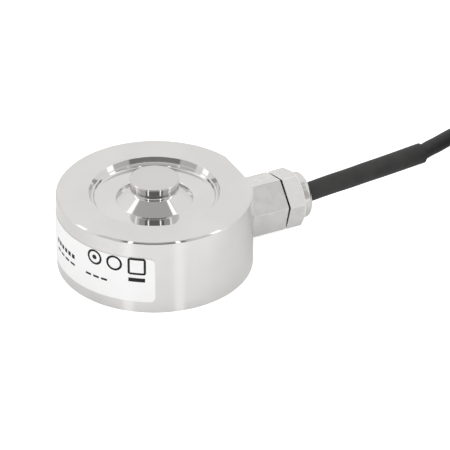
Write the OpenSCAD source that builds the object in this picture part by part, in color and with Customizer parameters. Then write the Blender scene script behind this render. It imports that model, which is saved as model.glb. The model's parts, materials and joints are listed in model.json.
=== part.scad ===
// Button-type compression load cell with its cable gland, cable and flying leads.
// Millimetres, +Z up. The origin is on the body's axis, in the plane of its base,
// and the cable gland points along +X.

/* [Sensor body] */
// Outside diameter of the body
body_d = 60; // [56:0.5:72]
// Height of the rim above the base
body_h = 24.8; // [23:0.1:32]
// Chamfer on the rim's outer edge
rim_chamfer = 0.5; // [0.2:0.1:1]
// Chamfer on the base's outer edge
base_chamfer = 0.3; // [0.1:0.1:0.8]
// Diameter of the recess in the top face
recess_d = 40; // [36:0.5:44]
// Depth of the recess
recess_depth = 2.4; // [1.6:0.1:3.2]
// Fillet where the recess wall meets its floor
recess_fillet = 0.8; // [0.3:0.1:1.2]
// Thickness of the diaphragm under the recess
diaphragm_t = 4; // [3:0.1:5]
// How deep the flat for the gland is milled into the side
flat_depth = 1.7; // [1:0.1:3]

/* [Load button] */
// Diameter of the button's upper edge
button_d = 15.1; // [14:0.1:18]
// Height of that edge above the rim
button_rise = 4.3; // [3.5:0.1:7]
// Radius of the domed loading face
dome_r = 60; // [40:5:150]
// Chamfer round the dome
button_chamfer = 0.3; // [0.1:0.1:0.6]
// Diameter of the cone where it leaves the recess floor
cone_d = 23.2; // [20:0.1:27]
// Diameter of the waist between cone and button
waist_d = 14.1; // [12:0.1:14.5]
// Height of the waist above the rim
waist_rise = 1.7; // [1:0.1:2.5]
// Radius of the cove that runs from the waist into the cone
cove_r = 1.4; // [0.5:0.1:2]

/* [Gauge cavity and cover] */
// Thickness of the body's wall round the gauge cavity
wall_t = 9; // [8:0.1:10]
// Diameter of the hub under the diaphragm
hub_d = 16; // [14:0.5:18]
// Diameter of the hub's lower end, which the board is bonded round
boss_d = 12; // [10:0.5:13]
// Fillet between the diaphragm and the cavity's walls
cavity_fillet = 1.5; // [0.5:0.1:2]
// Width of the ledge that the cover sits on
cover_ledge = 1; // [0.6:0.1:1.5]
// Thickness of the cover
cover_t = 1.5; // [1:0.1:2]
// How far the cover lies above the base plane
cover_inset = 0.3; // [0.1:0.1:0.6]
// Space between the hub's lower end and the cover
overload_gap = 2.2; // [1:0.1:3]

/* [Base holes] */
// Number of tapped holes in the base
hole_count = 4; // [3:1:4]
// Core diameter of the tapped holes
hole_d = 3.3; // [2.5:0.1:4.2]
// Depth of the tapped holes
hole_depth = 8; // [5:0.5:11]
// Direction of the first hole from +X, in degrees
hole_first = 45; // [40:1:60]

/* [Label] */
// Height of the label
label_h = 15.2; // [10:0.1:18]
// Height of its lower edge above the base
label_z = 4; // [2:0.1:6]
// Arc that it covers, in degrees
label_arc = 118; // [60:1:160]
// Direction of its front edge from +X, in degrees
label_edge = 244.5; // [230:0.1:300]
// Radius of its corners
label_corner = 1; // [0.5:0.1:3]
// Thickness of the label
label_t = 0.15; // [0.1:0.05:0.3]

/* [Bridge] */
// Length of a strain gauge
gauge_l = 6; // [4:0.5:7]
// Width of a strain gauge
gauge_w = 4; // [3:0.5:6]
// Thickness of a strain gauge
gauge_t = 0.15; // [0.1:0.05:0.3]
// Diameter of the ring-shaped terminal board
board_d = 26; // [24:0.5:28]
// Thickness of the board
board_t = 1; // [0.6:0.1:1.6]
// Height of the board's upper face above the base
board_z = 8; // [7.5:0.1:8.2]
// Diameter of the gauges' enamelled lead wires
gauge_wire_d = 0.4; // [0.2:0.1:0.6]

/* [Cable gland] */
// Height of the gland's axis above the base
gland_z = 10; // [9.5:0.1:11.5]
// Outside diameter of the thread in the body
port_thread_d = 11.9; // [10:0.1:12.5]
// Width across flats of the gland's body and nut
hex_af = 16.3; // [15:0.1:18]
// Length of the body's hexagon
hex_l = 12.7; // [9:0.1:16]
// Turn of the body's hexagon about its axis, in degrees
hex_turn = 16.3; // [0:0.1:60]
// Length of the nut's hexagon
nut_hex_l = 5.8; // [4:0.1:7]
// Turn of the nut's hexagon about its axis, in degrees
nut_turn = 18; // [0:0.1:60]
// Gap between the nut and the body's hexagon
nut_gap = 0.6; // [0.3:0.1:1.5]
// Diameter of the nut's round collar
collar_d = 14.6; // [14:0.1:15]
// Length of the collar
collar_l = 3.1; // [2.5:0.1:5]
// Thickness of the nut's end wall round the mouth
mouth_wall = 2.4; // [1.5:0.1:2.4]
// Radius of the collar's front edge
collar_edge = 1.5; // [0.5:0.1:2]
// Outside diameter of the thread that the nut turns on
nut_thread_d = 12.8; // [12.6:0.1:13]
// Thickness of the gasket under the gland
gasket_t = 0.3; // [0.3:0.1:1]
// Outside diameter of the rubber cable seal
seal_d = 9.9; // [8:0.1:10.4]
// Length of the cable seal
seal_l = 8.6; // [6:0.1:9]
// Thickness of the slip washer between seal and nut
washer_t = 0.7; // [0.4:0.1:1]

/* [Cable] */
// Diameter of the cable
cable_d = 5; // [4.5:0.1:5]
// Outside diameter of the heat-shrink sleeve
sleeve_d = 5.9; // [5.6:0.1:6.2]
// Diameter of a core
core_d = 1; // [0.8:0.1:1.1]
// Outside diameter of a flying lead
lead_d = 1.1; // [0.9:0.1:1.2]

/* [Cable coil] */
// Radius of the outermost turn, at the cable's centre
turn_r = 38.5; // [36:0.5:45]
// Distance between neighbouring turns and layers
turn_pitch = 5.1; // [5.1:0.1:5.5]
// Number of layers
layers = 4; // [2:1:6]
// Turns in each layer
layer_turns = 3.5; // [2:0.5:4]
// Width of a coil tie
tie_w = 3.6; // [2.5:0.1:5]
// Thickness of a coil tie
tie_t = 0.9; // [0.8:0.1:0.9]

/* [Hidden] */
$fn = 96;
cut = 1;             // how far a cutting shape runs past the face that it cuts
running_gap = 0.05;  // between a thread or plug and its hole, on the radius
thread_gap = 0.1;    // between the nut and its thread, on the radius
grip_gap = 0.02;     // between the seal and the cable, on the radius
sleeve_gap = 0.05;   // between the sleeve and the cable, on the radius
mouth_gap = 0.2;     // between the sleeve and the nut's mouth, on the radius
glue_gap = 0.02;     // between the label and the body
tie_gap = 0.1;       // between a tie and the coil
corner_ease = 0.03;  // how far a label corner's arc runs out past the straight edges
corner_break = 0.15; // how far inside the flats a hexagon's end face is turned down

body_r = body_d / 2;
recess_r = recess_d / 2;
floor_z = body_h - recess_depth;
ceiling_z = floor_z - diaphragm_t;
cavity_r = body_r - wall_t;
pocket_r = cavity_r + cover_ledge;
ledge_z = cover_inset + cover_t;
boss_z = ledge_z + overload_gap;
neck_top = body_h + button_rise;
cove = [waist_d / 2 + cove_r, body_h + waist_rise];
cone_foot = [cone_d / 2, floor_z];
cone_reach = norm(cove - cone_foot);
cone_slope = atan2(cove[1] - cone_foot[1], cone_foot[0] - cove[0]) - asin(cove_r / cone_reach);
cone_l = sqrt(pow(cone_reach, 2) - pow(cove_r, 2));
hole_r = (pocket_r + body_r) / 2;

gauge_r = (hub_d / 2 + cavity_r) / 2;
gauge_count = 4;
wire_r = gauge_r - gauge_l / 2 + 0.6;
wire_spread = 1;
resistor = [2, 1.2, 0.5];
resistor_r = (hub_d + board_d) / 4 + 0.2;
resistor_at = [90, 180, 270];

flat_x = body_r - flat_depth;
hex_x = flat_x + gasket_t;
nut_x = hex_x + hex_l + nut_gap;
collar_x = nut_x + nut_hex_l;
mouth_x = collar_x + collar_l;
washer_x = mouth_x - mouth_wall - washer_t;
seal_x = washer_x - seal_l;
stem_end = washer_x - thread_gap;
spigot_x = cavity_r + 0.3;
jacket_x = cavity_r - 1;
cable_r = cable_d / 2;
sleeve_r = sleeve_d / 2;
core_bend = 1.2;
core_x = board_d / 2 - 1.5;
drain_x = core_x - 2;
drain_lift = 1.5;

core_colours = ["#c0392b", "#202020", "#2e8b57", "#ececec"];
steel = "#c9c8c5";
black = "#2b2b2b";

// The cable from the gland's mouth to the coil's first turn. The sleeve ends at
// point number sleeve_last.
cable_route = [
    [50.8, 0, 10], [52.6, 0, 10], [57, 0.7, 9.9], [62, 1.3, 9.9], [68, 2, 9.8], [74, 2.9, 9.7],
    [80, 3.8, 9.5], [86, 4.8, 9.3], [91, 5.7, 9.1], [95.5, 6.4, 9], [99, 7.8, 8.9],
    [103, 9.4, 8.6], [109, 11.9, 8.3], [115, 14.4, 7.6], [121, 16.6, 6.6],
    [127, 18.5, 5.4], [133, 20, 4.4], [139, 21.1, 3.8], [145, 21.8, 3.5],
    [150, 22, 3.5]
];
sleeve_last = 9;
sleeve_x = 48.6;

// The cable's last stretch, which climbs out of the top layer and ends lying on it.
tail_route = [
    [169.2, 16.8, 18.8], [172.8, 14.4, 18.9], [176, 11.4, 19.2], [178.7, 8.1, 19.6],
    [180.9, 4.5, 20.2], [182.6, 0.6, 20.8], [183.8, -3.4, 21.5], [184.6, -7.4, 22.1],
    [184.9, -11.4, 22.7], [184.8, -15.4, 23.2], [184.4, -19.3, 23.6], [183.7, -23.1, 23.9],
    [182.6, -26.8, 23.9], [181, -30.4, 23.9], [179.1, -33.7, 23.9], [176.8, -36.7, 23.9]
];

// A flying lead: how far along, share of its spread, and share of its drop.
lead_line = [
    [0, 0, 0], [1.5, 0, 0], [6, 0.14, 0.4], [11, 0.38, 0.85], [17, 0.63, 1],
    [22, 0.78, 1], [28, 0.9, 1], [34, 0.98, 1], [40, 1, 1]
];
lead_spread = [4.5, 1.9, -1.9, -5.5];
lead_seat = [[1, 0.8], [0.9, -0.9], [-0.9, -0.9], [-1, 0.8]];

coil_start = cable_route[len(cable_route) - 1];
coil_x = coil_start[0];
coil_y = coil_start[1] - turn_r;
coil_z = tie_t + tie_gap;
coil_in = turn_r - layer_turns * turn_pitch - cable_r;
coil_out = turn_r + cable_r;
coil_h = (layers - 1) * turn_pitch + cable_d;
coil_top = coil_z + coil_h;
tie_at = [150, 228];
tie_head = [3.4, 5.2, 5];

sides = 10;
lead_sides = 8;

// ---- Shared shapes ----

// Puts a shape that is drawn along +Z on the gland's axis, along +X.
module on_gland_axis() {
    translate([0, 0, gland_z])
        rotate([0, 90, 0])
            children();
}

// A 2-D fillet of radius r in the corner at the origin, filling towards +X and +Y.
module corner_fillet(r) {
    difference() {
        square(r);
        translate([r, r])
            circle(r);
    }
}

// A 2-D rectangle with rounded corners.
module rounded_rect(size, r) {
    translate([r, 0])
        square([size[0] - 2 * r, size[1]]);
    translate([0, r])
        square([size[0], size[1] - 2 * r]);
    for (x = [r, size[0] - r], y = [r, size[1] - r])
        translate([x, y])
            circle(r);
}

// A hexagonal bar along +Z with its corners turned down by 30 degrees at the ends.
// ends holds 1 for each end that is turned down, lower end first.
module hex_bar(af, length, turn, ends) {
    edge_r = af / 2 - corner_break;
    outside = af / sqrt(3) + cut;
    drop = (outside - edge_r) * tan(30);
    intersection() {
        rotate([0, 0, turn])
            cylinder(h = length, r = af / sqrt(3), $fn = 6);
        rotate_extrude()
            polygon([
                [0, 0], [ends[0] ? edge_r : outside, 0],
                [outside, ends[0] ? drop : 0],
                [outside, length - (ends[1] ? drop : 0)],
                [ends[1] ? edge_r : outside, length], [0, length]
            ]);
    }
}

function unit(v) = v / norm(v);
function along(path, i) = unit(path[min(i + 1, len(path) - 1)] - path[max(i - 1, 0)]);
function across(t) = unit(cross([0, 0, 1], t));

// The ring of points of radius r round point i of a path.
function ring_at(path, i, r, n) =
    let (t = along(path, i), s = across(t), u = cross(t, s))
    [for (k = [0:n - 1]) path[i] + r * (cos(360 * k / n) * s + sin(360 * k / n) * u)];

function skin(start, rings, n) = [
    for (i = [0:rings - 2], k = [0:n - 1])
        let (a = start + i * n + k, b = start + i * n + (k + 1) % n)
        [a, a + n, b + n, b]
];
function turned_over(faces) = [for (f = faces) [for (i = [len(f) - 1:-1:0]) f[i]]];

// A closed round tube along a path, with an optional bore.
module swept_tube(path, r, n, bore = 0) {
    rings = len(path);
    last = (rings - 1) * n;
    outer = [for (i = [0:rings - 1]) each ring_at(path, i, r, n)];
    if (bore == 0) {
        polyhedron(outer, concat(
            skin(0, rings, n),
            [[for (k = [0:n - 1]) k]],
            [[for (k = [n - 1:-1:0]) last + k]]
        ));
    } else {
        inner = [for (i = [0:rings - 1]) each ring_at(path, i, bore, n)];
        second = rings * n;
        polyhedron(concat(outer, inner), concat(
            skin(0, rings, n),
            turned_over(skin(second, rings, n)),
            [for (k = [0:n - 1]) let (m = (k + 1) % n)
                [k, m, second + m, second + k]],
            [for (k = [0:n - 1]) let (m = (k + 1) % n)
                [last + m, last + k, second + last + k, second + last + m]]
        ));
    }
}

// ---- Sensor body ----

// The load button, its waist and the cone, above the recess floor.
module button_section() {
    cone_head = cone_foot + cone_l * [-cos(cone_slope), sin(cone_slope)];
    difference() {
        polygon([
            [0, floor_z], cone_foot, cone_head, [waist_d / 2, cove[1]],
            [button_d / 2, neck_top], [0, neck_top]
        ]);
        translate(cove)
            circle(cove_r);
    }
}

// The domed loading face, over a small chamfer at the neck's edge.
module dome_section() {
    face_r = button_d / 2 - button_chamfer;
    sag = dome_r - sqrt(pow(dome_r, 2) - pow(face_r, 2));
    polygon([
        [0, neck_top], [button_d / 2, neck_top],
        [face_r, neck_top + button_chamfer], [0, neck_top + button_chamfer]
    ]);
    intersection() {
        translate([0, neck_top])
            square([face_r, button_chamfer + sag + cut]);
        translate([0, neck_top + button_chamfer + sag - dome_r])
            circle(dome_r, $fn = 480);
    }
}

module cavity_section() {
    difference() {
        translate([hub_d / 2, -cut])
            square([cavity_r - hub_d / 2, ceiling_z + cut]);
        translate([hub_d / 2, ceiling_z])
            mirror([0, 1])
                corner_fillet(cavity_fillet);
        translate([cavity_r, ceiling_z])
            rotate(180)
                corner_fillet(cavity_fillet);
    }
    translate([boss_d / 2, -cut])
        square([cavity_r - boss_d / 2, board_z + cut]);
    translate([-cut, -cut])
        square([cavity_r + cut, boss_z + cut]);
    translate([-cut, -cut])
        square([pocket_r + cut, ledge_z + cut]);
}

module body_section() {
    difference() {
        union() {
            polygon([
                [0, 0], [body_r - base_chamfer, 0], [body_r, base_chamfer],
                [body_r, body_h - rim_chamfer], [body_r - rim_chamfer, body_h],
                [recess_r, body_h], [recess_r, floor_z], [0, floor_z]
            ]);
            translate([recess_r, floor_z])
                mirror([1, 0])
                    corner_fillet(recess_fillet);
            button_section();
            dome_section();
        }
        cavity_section();
        translate([-2 * cut, -cut])
            square([2 * cut, neck_top + 2 * cut]);
    }
}

module base_hole() {
    tip = hole_d / 2 * tan(31);
    rotate_extrude($fn = 48)
        polygon([
            [0, -cut], [hole_d / 2, -cut], [hole_d / 2, hole_depth],
            [0, hole_depth + tip]
        ]);
}

// The body, its diaphragm and its load button are turned from one piece of steel.
module sensor_body() {
    color(steel)
        difference() {
            rotate_extrude($fn = 180)
                body_section();
            translate([flat_x, -body_r, -cut])
                cube([body_r, body_d, body_h + 2 * cut]);
            on_gland_axis()
                translate([0, 0, (hub_d / 2 + cavity_r) / 2])
                    cylinder(h = body_r, r = port_thread_d / 2 + running_gap);
            for (i = [0:hole_count - 1])
                rotate([0, 0, hole_first + 360 * i / hole_count])
                    translate([hole_r, 0, 0])
                        base_hole();
        }
}

module base_cover() {
    color("#b4b3b0")
        translate([0, 0, cover_inset])
            cylinder(h = cover_t, r = pocket_r - running_gap);
}

// ---- Label ----

// What is cut off a label corner. side is 1 at the low-angle edge and -1 at the other.
module label_corner_cut(side, z, up) {
    reach = body_r + label_t + cut;
    translate([0, 0, z])
        rotate([90, 0, 90])
            linear_extrude(reach)
                mirror([side < 0 ? 1 : 0, 0])
                    mirror([0, up < 0 ? 1 : 0])
                        translate([-cut, -cut])
                            difference() {
                                square(label_corner + cut);
                                translate([1, 1] * (label_corner + cut - corner_ease))
                                    circle(label_corner);
                            }
}

module label() {
    inside = body_r + glue_gap;
    start = label_edge - label_arc;
    color("#f4f4f2")
        difference() {
            rotate([0, 0, start])
                rotate_extrude(angle = label_arc)
                    translate([inside, label_z])
                        square([label_t, label_h]);
            for (end = [[start, 1], [label_edge, -1]])
                rotate([0, 0, end[0]]) {
                    label_corner_cut(end[1], label_z, 1);
                    label_corner_cut(end[1], label_z + label_h, -1);
                }
        }
}

// ---- Bridge ----

function gauge_angle(i) = 45 + 360 * (i - 1) / gauge_count;

module strain_gauge(i) {
    color("#c98f3a")
        rotate([0, 0, gauge_angle(i)])
            translate([gauge_r - gauge_l / 2, -gauge_w / 2, ceiling_z - gauge_t])
                cube([gauge_l, gauge_w, gauge_t]);
}

// The two wires that hang from a gauge's solder tabs down to the board.
module gauge_wires(i) {
    color("#8c4a25")
        for (y = [-wire_spread, wire_spread])
            rotate([0, 0, gauge_angle(i)])
                translate([wire_r, y, board_z])
                    cylinder(h = ceiling_z - gauge_t - board_z, d = gauge_wire_d, $fn = 24);
}

module terminal_board() {
    color("#2f6b45")
        translate([0, 0, board_z - board_t])
            difference() {
                cylinder(h = board_t, d = board_d);
                translate([0, 0, -cut])
                    cylinder(h = board_t + 2 * cut, r = boss_d / 2 + running_gap);
            }
}

module bridge_resistor(i) {
    color("#1d1d1f")
        rotate([0, 0, resistor_at[i - 1]])
            translate([resistor_r - resistor[1] / 2, -resistor[0] / 2, board_z])
                cube([resistor[1], resistor[0], resistor[2]]);
}

// ---- Cable gland ----

module gland_gasket() {
    color(black)
        on_gland_axis()
            translate([0, 0, flat_x])
                difference() {
                    cylinder(h = gasket_t, d = hex_af - 1.2);
                    translate([0, 0, -cut])
                        cylinder(h = gasket_t + 2 * cut, r = port_thread_d / 2 + running_gap);
                }
}

// One piece: a spigot for the body, a hexagon, and a threaded stem for the nut.
module gland_body() {
    color(steel)
        on_gland_axis()
            difference() {
                union() {
                    translate([0, 0, spigot_x])
                        cylinder(h = hex_x - spigot_x + cut, d = port_thread_d);
                    translate([0, 0, hex_x])
                        hex_bar(hex_af, hex_l, hex_turn, [1, 0]);
                    translate([0, 0, hex_x + hex_l - cut])
                        cylinder(h = stem_end - hex_x - hex_l + cut, d = nut_thread_d);
                }
                translate([0, 0, spigot_x - cut])
                    cylinder(h = stem_end - spigot_x + 2 * cut, r = cable_r + 5 * running_gap);
                translate([0, 0, seal_x])
                    cylinder(h = stem_end - seal_x + cut, r = seal_d / 2 + running_gap);
            }
}

module cable_seal() {
    color(black)
        on_gland_axis()
            translate([0, 0, seal_x])
                difference() {
                    cylinder(h = seal_l, d = seal_d);
                    translate([0, 0, -cut])
                        cylinder(h = seal_l + 2 * cut, r = cable_r + grip_gap);
                }
}

module slip_washer() {
    color("#e6e2d6")
        on_gland_axis()
            translate([0, 0, washer_x])
                difference() {
                    cylinder(h = washer_t, d = nut_thread_d);
                    translate([0, 0, -cut])
                        cylinder(h = washer_t + 2 * cut, r = cable_r + 2 * thread_gap);
                }
}

module collar_section() {
    square([collar_d / 2, collar_l - collar_edge]);
    square([collar_d / 2 - collar_edge, collar_l]);
    translate([collar_d / 2 - collar_edge, collar_l - collar_edge])
        circle(collar_edge);
}

module gland_nut() {
    color(steel)
        on_gland_axis()
            difference() {
                union() {
                    translate([0, 0, nut_x])
                        hex_bar(hex_af, nut_hex_l, nut_turn, [0, 1]);
                    translate([0, 0, collar_x])
                        rotate_extrude()
                            collar_section();
                }
                translate([0, 0, nut_x - cut])
                    cylinder(
                        h = washer_x + washer_t - nut_x + cut,
                        r = nut_thread_d / 2 + thread_gap
                    );
                translate([0, 0, washer_x])
                    cylinder(h = mouth_x - washer_x + cut, r = sleeve_r + mouth_gap);
            }
}

// ---- Cable inside the gland and the body ----

module cable_in_gland() {
    color(black)
        on_gland_axis()
            translate([0, 0, jacket_x])
                cylinder(h = mouth_x - jacket_x, r = cable_r);
}

// A wire from the jacket's end inwards and down to the board.
module board_wire(y, lift, x_end, d) {
    drop = gland_z + lift - board_z;
    translate([x_end + core_bend, y, gland_z + lift])
        rotate([0, 90, 0])
            cylinder(h = jacket_x - x_end - core_bend, d = d, $fn = 24);
    translate([x_end + core_bend, y, gland_z + lift - core_bend])
        rotate([90, 0, 0])
            rotate([0, 0, 90])
                rotate_extrude(angle = 90)
                    translate([core_bend, 0])
                        circle(d = d, $fn = 24);
    translate([x_end, y, board_z])
        cylinder(h = drop - core_bend, d = d, $fn = 24);
}

module core(i) {
    color(core_colours[i])
        board_wire((i - 1.5) * (core_d + running_gap), 0, core_x, core_d);
}

module drain_wire() {
    color("#b9b9bd")
        board_wire(0, drain_lift, drain_x, core_d * 0.6);
}

// ---- Cable outside ----

module heat_shrink_sleeve() {
    path = concat([[sleeve_x, 0, gland_z]], [for (i = [0:sleeve_last]) cable_route[i]]);
    color("#3a3a3a")
        swept_tube(path, sleeve_r, 12, cable_r + sleeve_gap);
}

module cable() {
    color(black)
        swept_tube(cable_route, cable_r, 12);
}

// The outer shape of the wound turns.
module cable_coil() {
    color(black)
        translate([coil_x, coil_y, coil_z])
            rotate_extrude()
                translate([coil_in, 0])
                    rounded_rect([coil_out - coil_in, coil_h], cable_r);
}

// A tie round the bundle of turns, with its head on the outside.
module coil_tie(i) {
    inner = [coil_out - coil_in + 2 * tie_gap, coil_h + 2 * tie_gap];
    color(black)
        translate([coil_x, coil_y, 0])
            rotate([0, 0, tie_at[i - 1]])
                translate([coil_in - tie_gap, 0, tie_t])
                    rotate([90, 0, 0]) {
                        translate([0, 0, -tie_w / 2])
                            linear_extrude(tie_w)
                                difference() {
                                    translate([-tie_t, -tie_t])
                                        rounded_rect([inner[0] + 2 * tie_t,
                                            inner[1] + 2 * tie_t], cable_r + tie_t);
                                    rounded_rect(inner, cable_r);
                                }
                        translate([inner[0] + tie_t / 2, inner[1] / 2 - tie_head[2] / 2,
                            -tie_head[1] / 2])
                            cube([tie_head[0], tie_head[2], tie_head[1]]);
                    }
}

module cable_tail() {
    color(black)
        swept_tube(tail_route, cable_r, sides);
}

// ---- Flying leads ----

tail_last = len(tail_route) - 1;
tail_end = tail_route[tail_last];
tail_way = along(tail_route, tail_last);
tail_side = across(tail_way);
tail_reach = norm([tail_end[0] - coil_x, tail_end[1] - coil_y]);

// A lead bends round the coil's middle as the turns under it do, and sinks onto them.
function lead_path(seat, spread, d) = [
    for (p = lead_line)
        let (
            out = seat[0] + p[1] * spread,
            turn = p[0] / (tail_reach + spread) * 180 / PI,
            drop = p[2] * (tail_end[2] + seat[1] - d / 2 - coil_top)
        )
        tail_end + (tail_reach + out) * sin(turn) * tail_way
            + ((tail_reach + out) * cos(turn) - tail_reach) * tail_side
            + [0, 0, seat[1] - drop]
];

module flying_lead(i) {
    color(core_colours[i])
        swept_tube(lead_path(lead_seat[i], lead_spread[i], lead_d), lead_d / 2, lead_sides);
}

module lead_shield() {
    d = lead_d * 0.8;
    color("#d8b72f")
        swept_tube(lead_path([0, 0], 0, d), d / 2, lead_sides);
}

sensor_body();
base_cover();
label();
strain_gauge(1);  // strain_gauge_1
strain_gauge(2);  // strain_gauge_2
strain_gauge(3);  // strain_gauge_3
strain_gauge(4);  // strain_gauge_4
gauge_wires(1);  // gauge_wires_1
gauge_wires(2);  // gauge_wires_2
gauge_wires(3);  // gauge_wires_3
gauge_wires(4);  // gauge_wires_4
terminal_board();
bridge_resistor(1);  // bridge_resistor_1
bridge_resistor(2);  // bridge_resistor_2
bridge_resistor(3);  // bridge_resistor_3
gland_gasket();
gland_body();
cable_seal();
slip_washer();
gland_nut();
cable_in_gland();
core(0);  // core_red
core(1);  // core_black
core(2);  // core_green
core(3);  // core_white
drain_wire();
heat_shrink_sleeve();
cable();
cable_coil();
coil_tie(1);  // coil_tie_1
coil_tie(2);  // coil_tie_2
cable_tail();
flying_lead(0);  // lead_red
flying_lead(1);  // lead_black
flying_lead(2);  // lead_green
flying_lead(3);  // lead_white
lead_shield();
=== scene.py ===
# %% [markdown]
# # A button load cell and its cable
# A compression load cell is a short, stiff drum of stainless steel with a button in the middle
# of its top. The load presses on the button, a thin ring of steel under the recess bends a
# little, and gauges glued inside turn that into a signal. A cable leaves through a gland.
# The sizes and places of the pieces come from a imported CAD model, the frame. This script
# dresses that frame: it gives each piece its finish, and rebuilds the ones whose edges,
# curves or softness matter to the eye.

# %% The frame
import json
import math

import bmesh
import bpy
from mathutils import Matrix, Vector

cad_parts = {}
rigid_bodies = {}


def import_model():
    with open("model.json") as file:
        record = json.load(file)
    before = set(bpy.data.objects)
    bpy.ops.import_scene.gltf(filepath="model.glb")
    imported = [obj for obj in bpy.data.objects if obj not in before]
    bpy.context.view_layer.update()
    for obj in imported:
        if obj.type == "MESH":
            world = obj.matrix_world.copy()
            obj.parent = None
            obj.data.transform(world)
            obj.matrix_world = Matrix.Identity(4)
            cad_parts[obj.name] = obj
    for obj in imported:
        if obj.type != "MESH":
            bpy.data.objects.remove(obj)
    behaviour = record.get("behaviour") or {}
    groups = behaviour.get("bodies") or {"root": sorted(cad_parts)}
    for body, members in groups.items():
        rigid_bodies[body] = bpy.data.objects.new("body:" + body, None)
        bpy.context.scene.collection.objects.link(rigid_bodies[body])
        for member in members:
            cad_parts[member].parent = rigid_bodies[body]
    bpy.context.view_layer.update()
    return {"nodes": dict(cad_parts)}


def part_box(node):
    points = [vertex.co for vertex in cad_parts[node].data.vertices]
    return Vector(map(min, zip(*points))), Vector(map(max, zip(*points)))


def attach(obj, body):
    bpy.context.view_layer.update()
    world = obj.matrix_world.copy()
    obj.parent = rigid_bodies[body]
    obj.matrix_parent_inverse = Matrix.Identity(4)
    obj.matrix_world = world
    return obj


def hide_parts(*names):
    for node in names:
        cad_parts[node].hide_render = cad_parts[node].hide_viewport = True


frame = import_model()
print("pieces in the frame:", len(frame["nodes"]))

# %% [markdown]
# ## The camera
# A long lens from well back keeps the round rim a true ellipse, as in catalogue pictures of
# small parts. The camera's place is worked out from two angles and a distance, so that it can
# be turned round the part by changing one number. The view is shifted by moving the aim and
# not the lens, which keeps the picture free of perspective tricks.

# %% The camera
MM = 0.001
CAMERA_TURN = math.radians(-26.4)
CAMERA_RISE = math.radians(32)
CAMERA_DISTANCE = 1.53
AIM_RIGHT = 0.0214
AIM_UP = 0.01066

level = Vector((math.sin(CAMERA_TURN), -math.cos(CAMERA_TURN), 0))
right = Vector((math.cos(CAMERA_TURN), math.sin(CAMERA_TURN), 0))
back = level * math.cos(CAMERA_RISE) + Vector((0, 0, math.sin(CAMERA_RISE)))
aim = right * AIM_RIGHT + back.cross(right) * AIM_UP

lens = bpy.data.cameras.new("camera")
lens.lens = 400
lens.sensor_width = 36
lens.clip_start = 0.1
lens.clip_end = 20
camera = bpy.data.objects.new("camera", lens)
camera.location = aim + back * CAMERA_DISTANCE
camera.rotation_euler = back.to_track_quat("Z", "Y").to_euler()
bpy.context.scene.collection.objects.link(camera)
bpy.context.scene.camera = camera
print("camera at", [round(x, 3) for x in camera.location])

# %% [markdown]
# ## The cable
# A real cable has one length, here three metres, and it lies under its own weight. It leaves
# the gland straight, sinks to the table in an easy curve, and the length that nobody needs yet
# is wound into a coil with two ties. A curve object suits it: the points give the line, and a
# round bevel gives the jacket. The free stretches are points given in a list. The coil is
# wound by a loop, a spiral inwards and a spiral outwards by turns, one layer on the other.
# A knot's radius multiplies the bevel's depth. With a depth of 1, the radius is the line's real
# one in metres, and Blender's box round the curve, which grows by the radius, stays true.

# %% The route, in millimetres and then in metres
CABLE_D = 5.0 * MM
ROUTE = [
    (50.8, 0, 10), (52.6, 0, 10), (57, 0.7, 9.9), (62, 1.3, 9.9), (68, 2, 9.8), (74, 2.9, 9.7),
    (80, 3.8, 9.5), (86, 4.8, 9.3), (91, 5.7, 9.1), (95.5, 6.4, 9), (99, 7.8, 8.9),
    (103, 9.4, 8.6), (109, 11.9, 8.3), (115, 14.4, 7.6), (121, 16.6, 6.6),
    (127, 18.5, 5.4), (133, 20, 4.4), (139, 21.1, 3.8), (145, 21.8, 3.5), (150, 22, 3.5),
]
TAIL = [
    (169.2, 16.8, 18.8), (172.8, 14.4, 18.9), (176, 11.4, 19.2), (178.7, 8.1, 19.6),
    (180.9, 4.5, 20.2), (182.6, 0.6, 20.8), (183.8, -3.4, 21.5), (184.6, -7.4, 22.1),
    (184.9, -11.4, 22.7), (184.8, -15.4, 23.2), (184.4, -19.3, 23.6), (183.7, -23.1, 23.9),
    (182.6, -26.8, 23.9), (181, -30.4, 23.9), (179.1, -33.7, 23.9), (176.8, -36.7, 23.9),
]
route = [Vector(p) * MM for p in ROUTE]
tail = [Vector(p) * MM for p in TAIL]

# %% The coil's turns
TURN_R = 38.5 * MM
PITCH = 5.1 * MM
LAYERS = 4
LAYER_TURNS = 3.5
CLIMB_TURNS = 130 / 360
POINTS_PER_TURN = 24
INNER_R = TURN_R - LAYER_TURNS * PITCH
coil_centre = Vector((route[-1].x, route[-1].y - TURN_R, 0))
first_layer_z = route[-1].z


def coil_place(turn):
    """The distance from the coil's middle and the height, so many turns after its start."""
    layer = min(int(turn / (LAYER_TURNS + CLIMB_TURNS)), LAYERS - 1)
    turn -= layer * (LAYER_TURNS + CLIMB_TURNS)
    inwards = layer % 2 == 0
    share = min(turn / LAYER_TURNS, 1)
    climb = max(turn - LAYER_TURNS, 0) / CLIMB_TURNS
    moved = share * LAYER_TURNS * PITCH
    radius = TURN_R - moved if inwards else INNER_R + moved
    return radius, first_layer_z + (layer + climb) * PITCH


def coil_points():
    """The points of all turns, clockwise from the top of the first one."""
    turns = LAYERS * LAYER_TURNS + (LAYERS - 1) * CLIMB_TURNS
    count = round(turns * POINTS_PER_TURN)
    points = []
    for i in range(1, count):
        turn = turns * i / count
        radius, z = coil_place(turn)
        angle = math.pi / 2 - 2 * math.pi * turn
        on_circle = Vector((radius * math.cos(angle), radius * math.sin(angle), z))
        points.append(coil_centre + on_circle)
    return points


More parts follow.
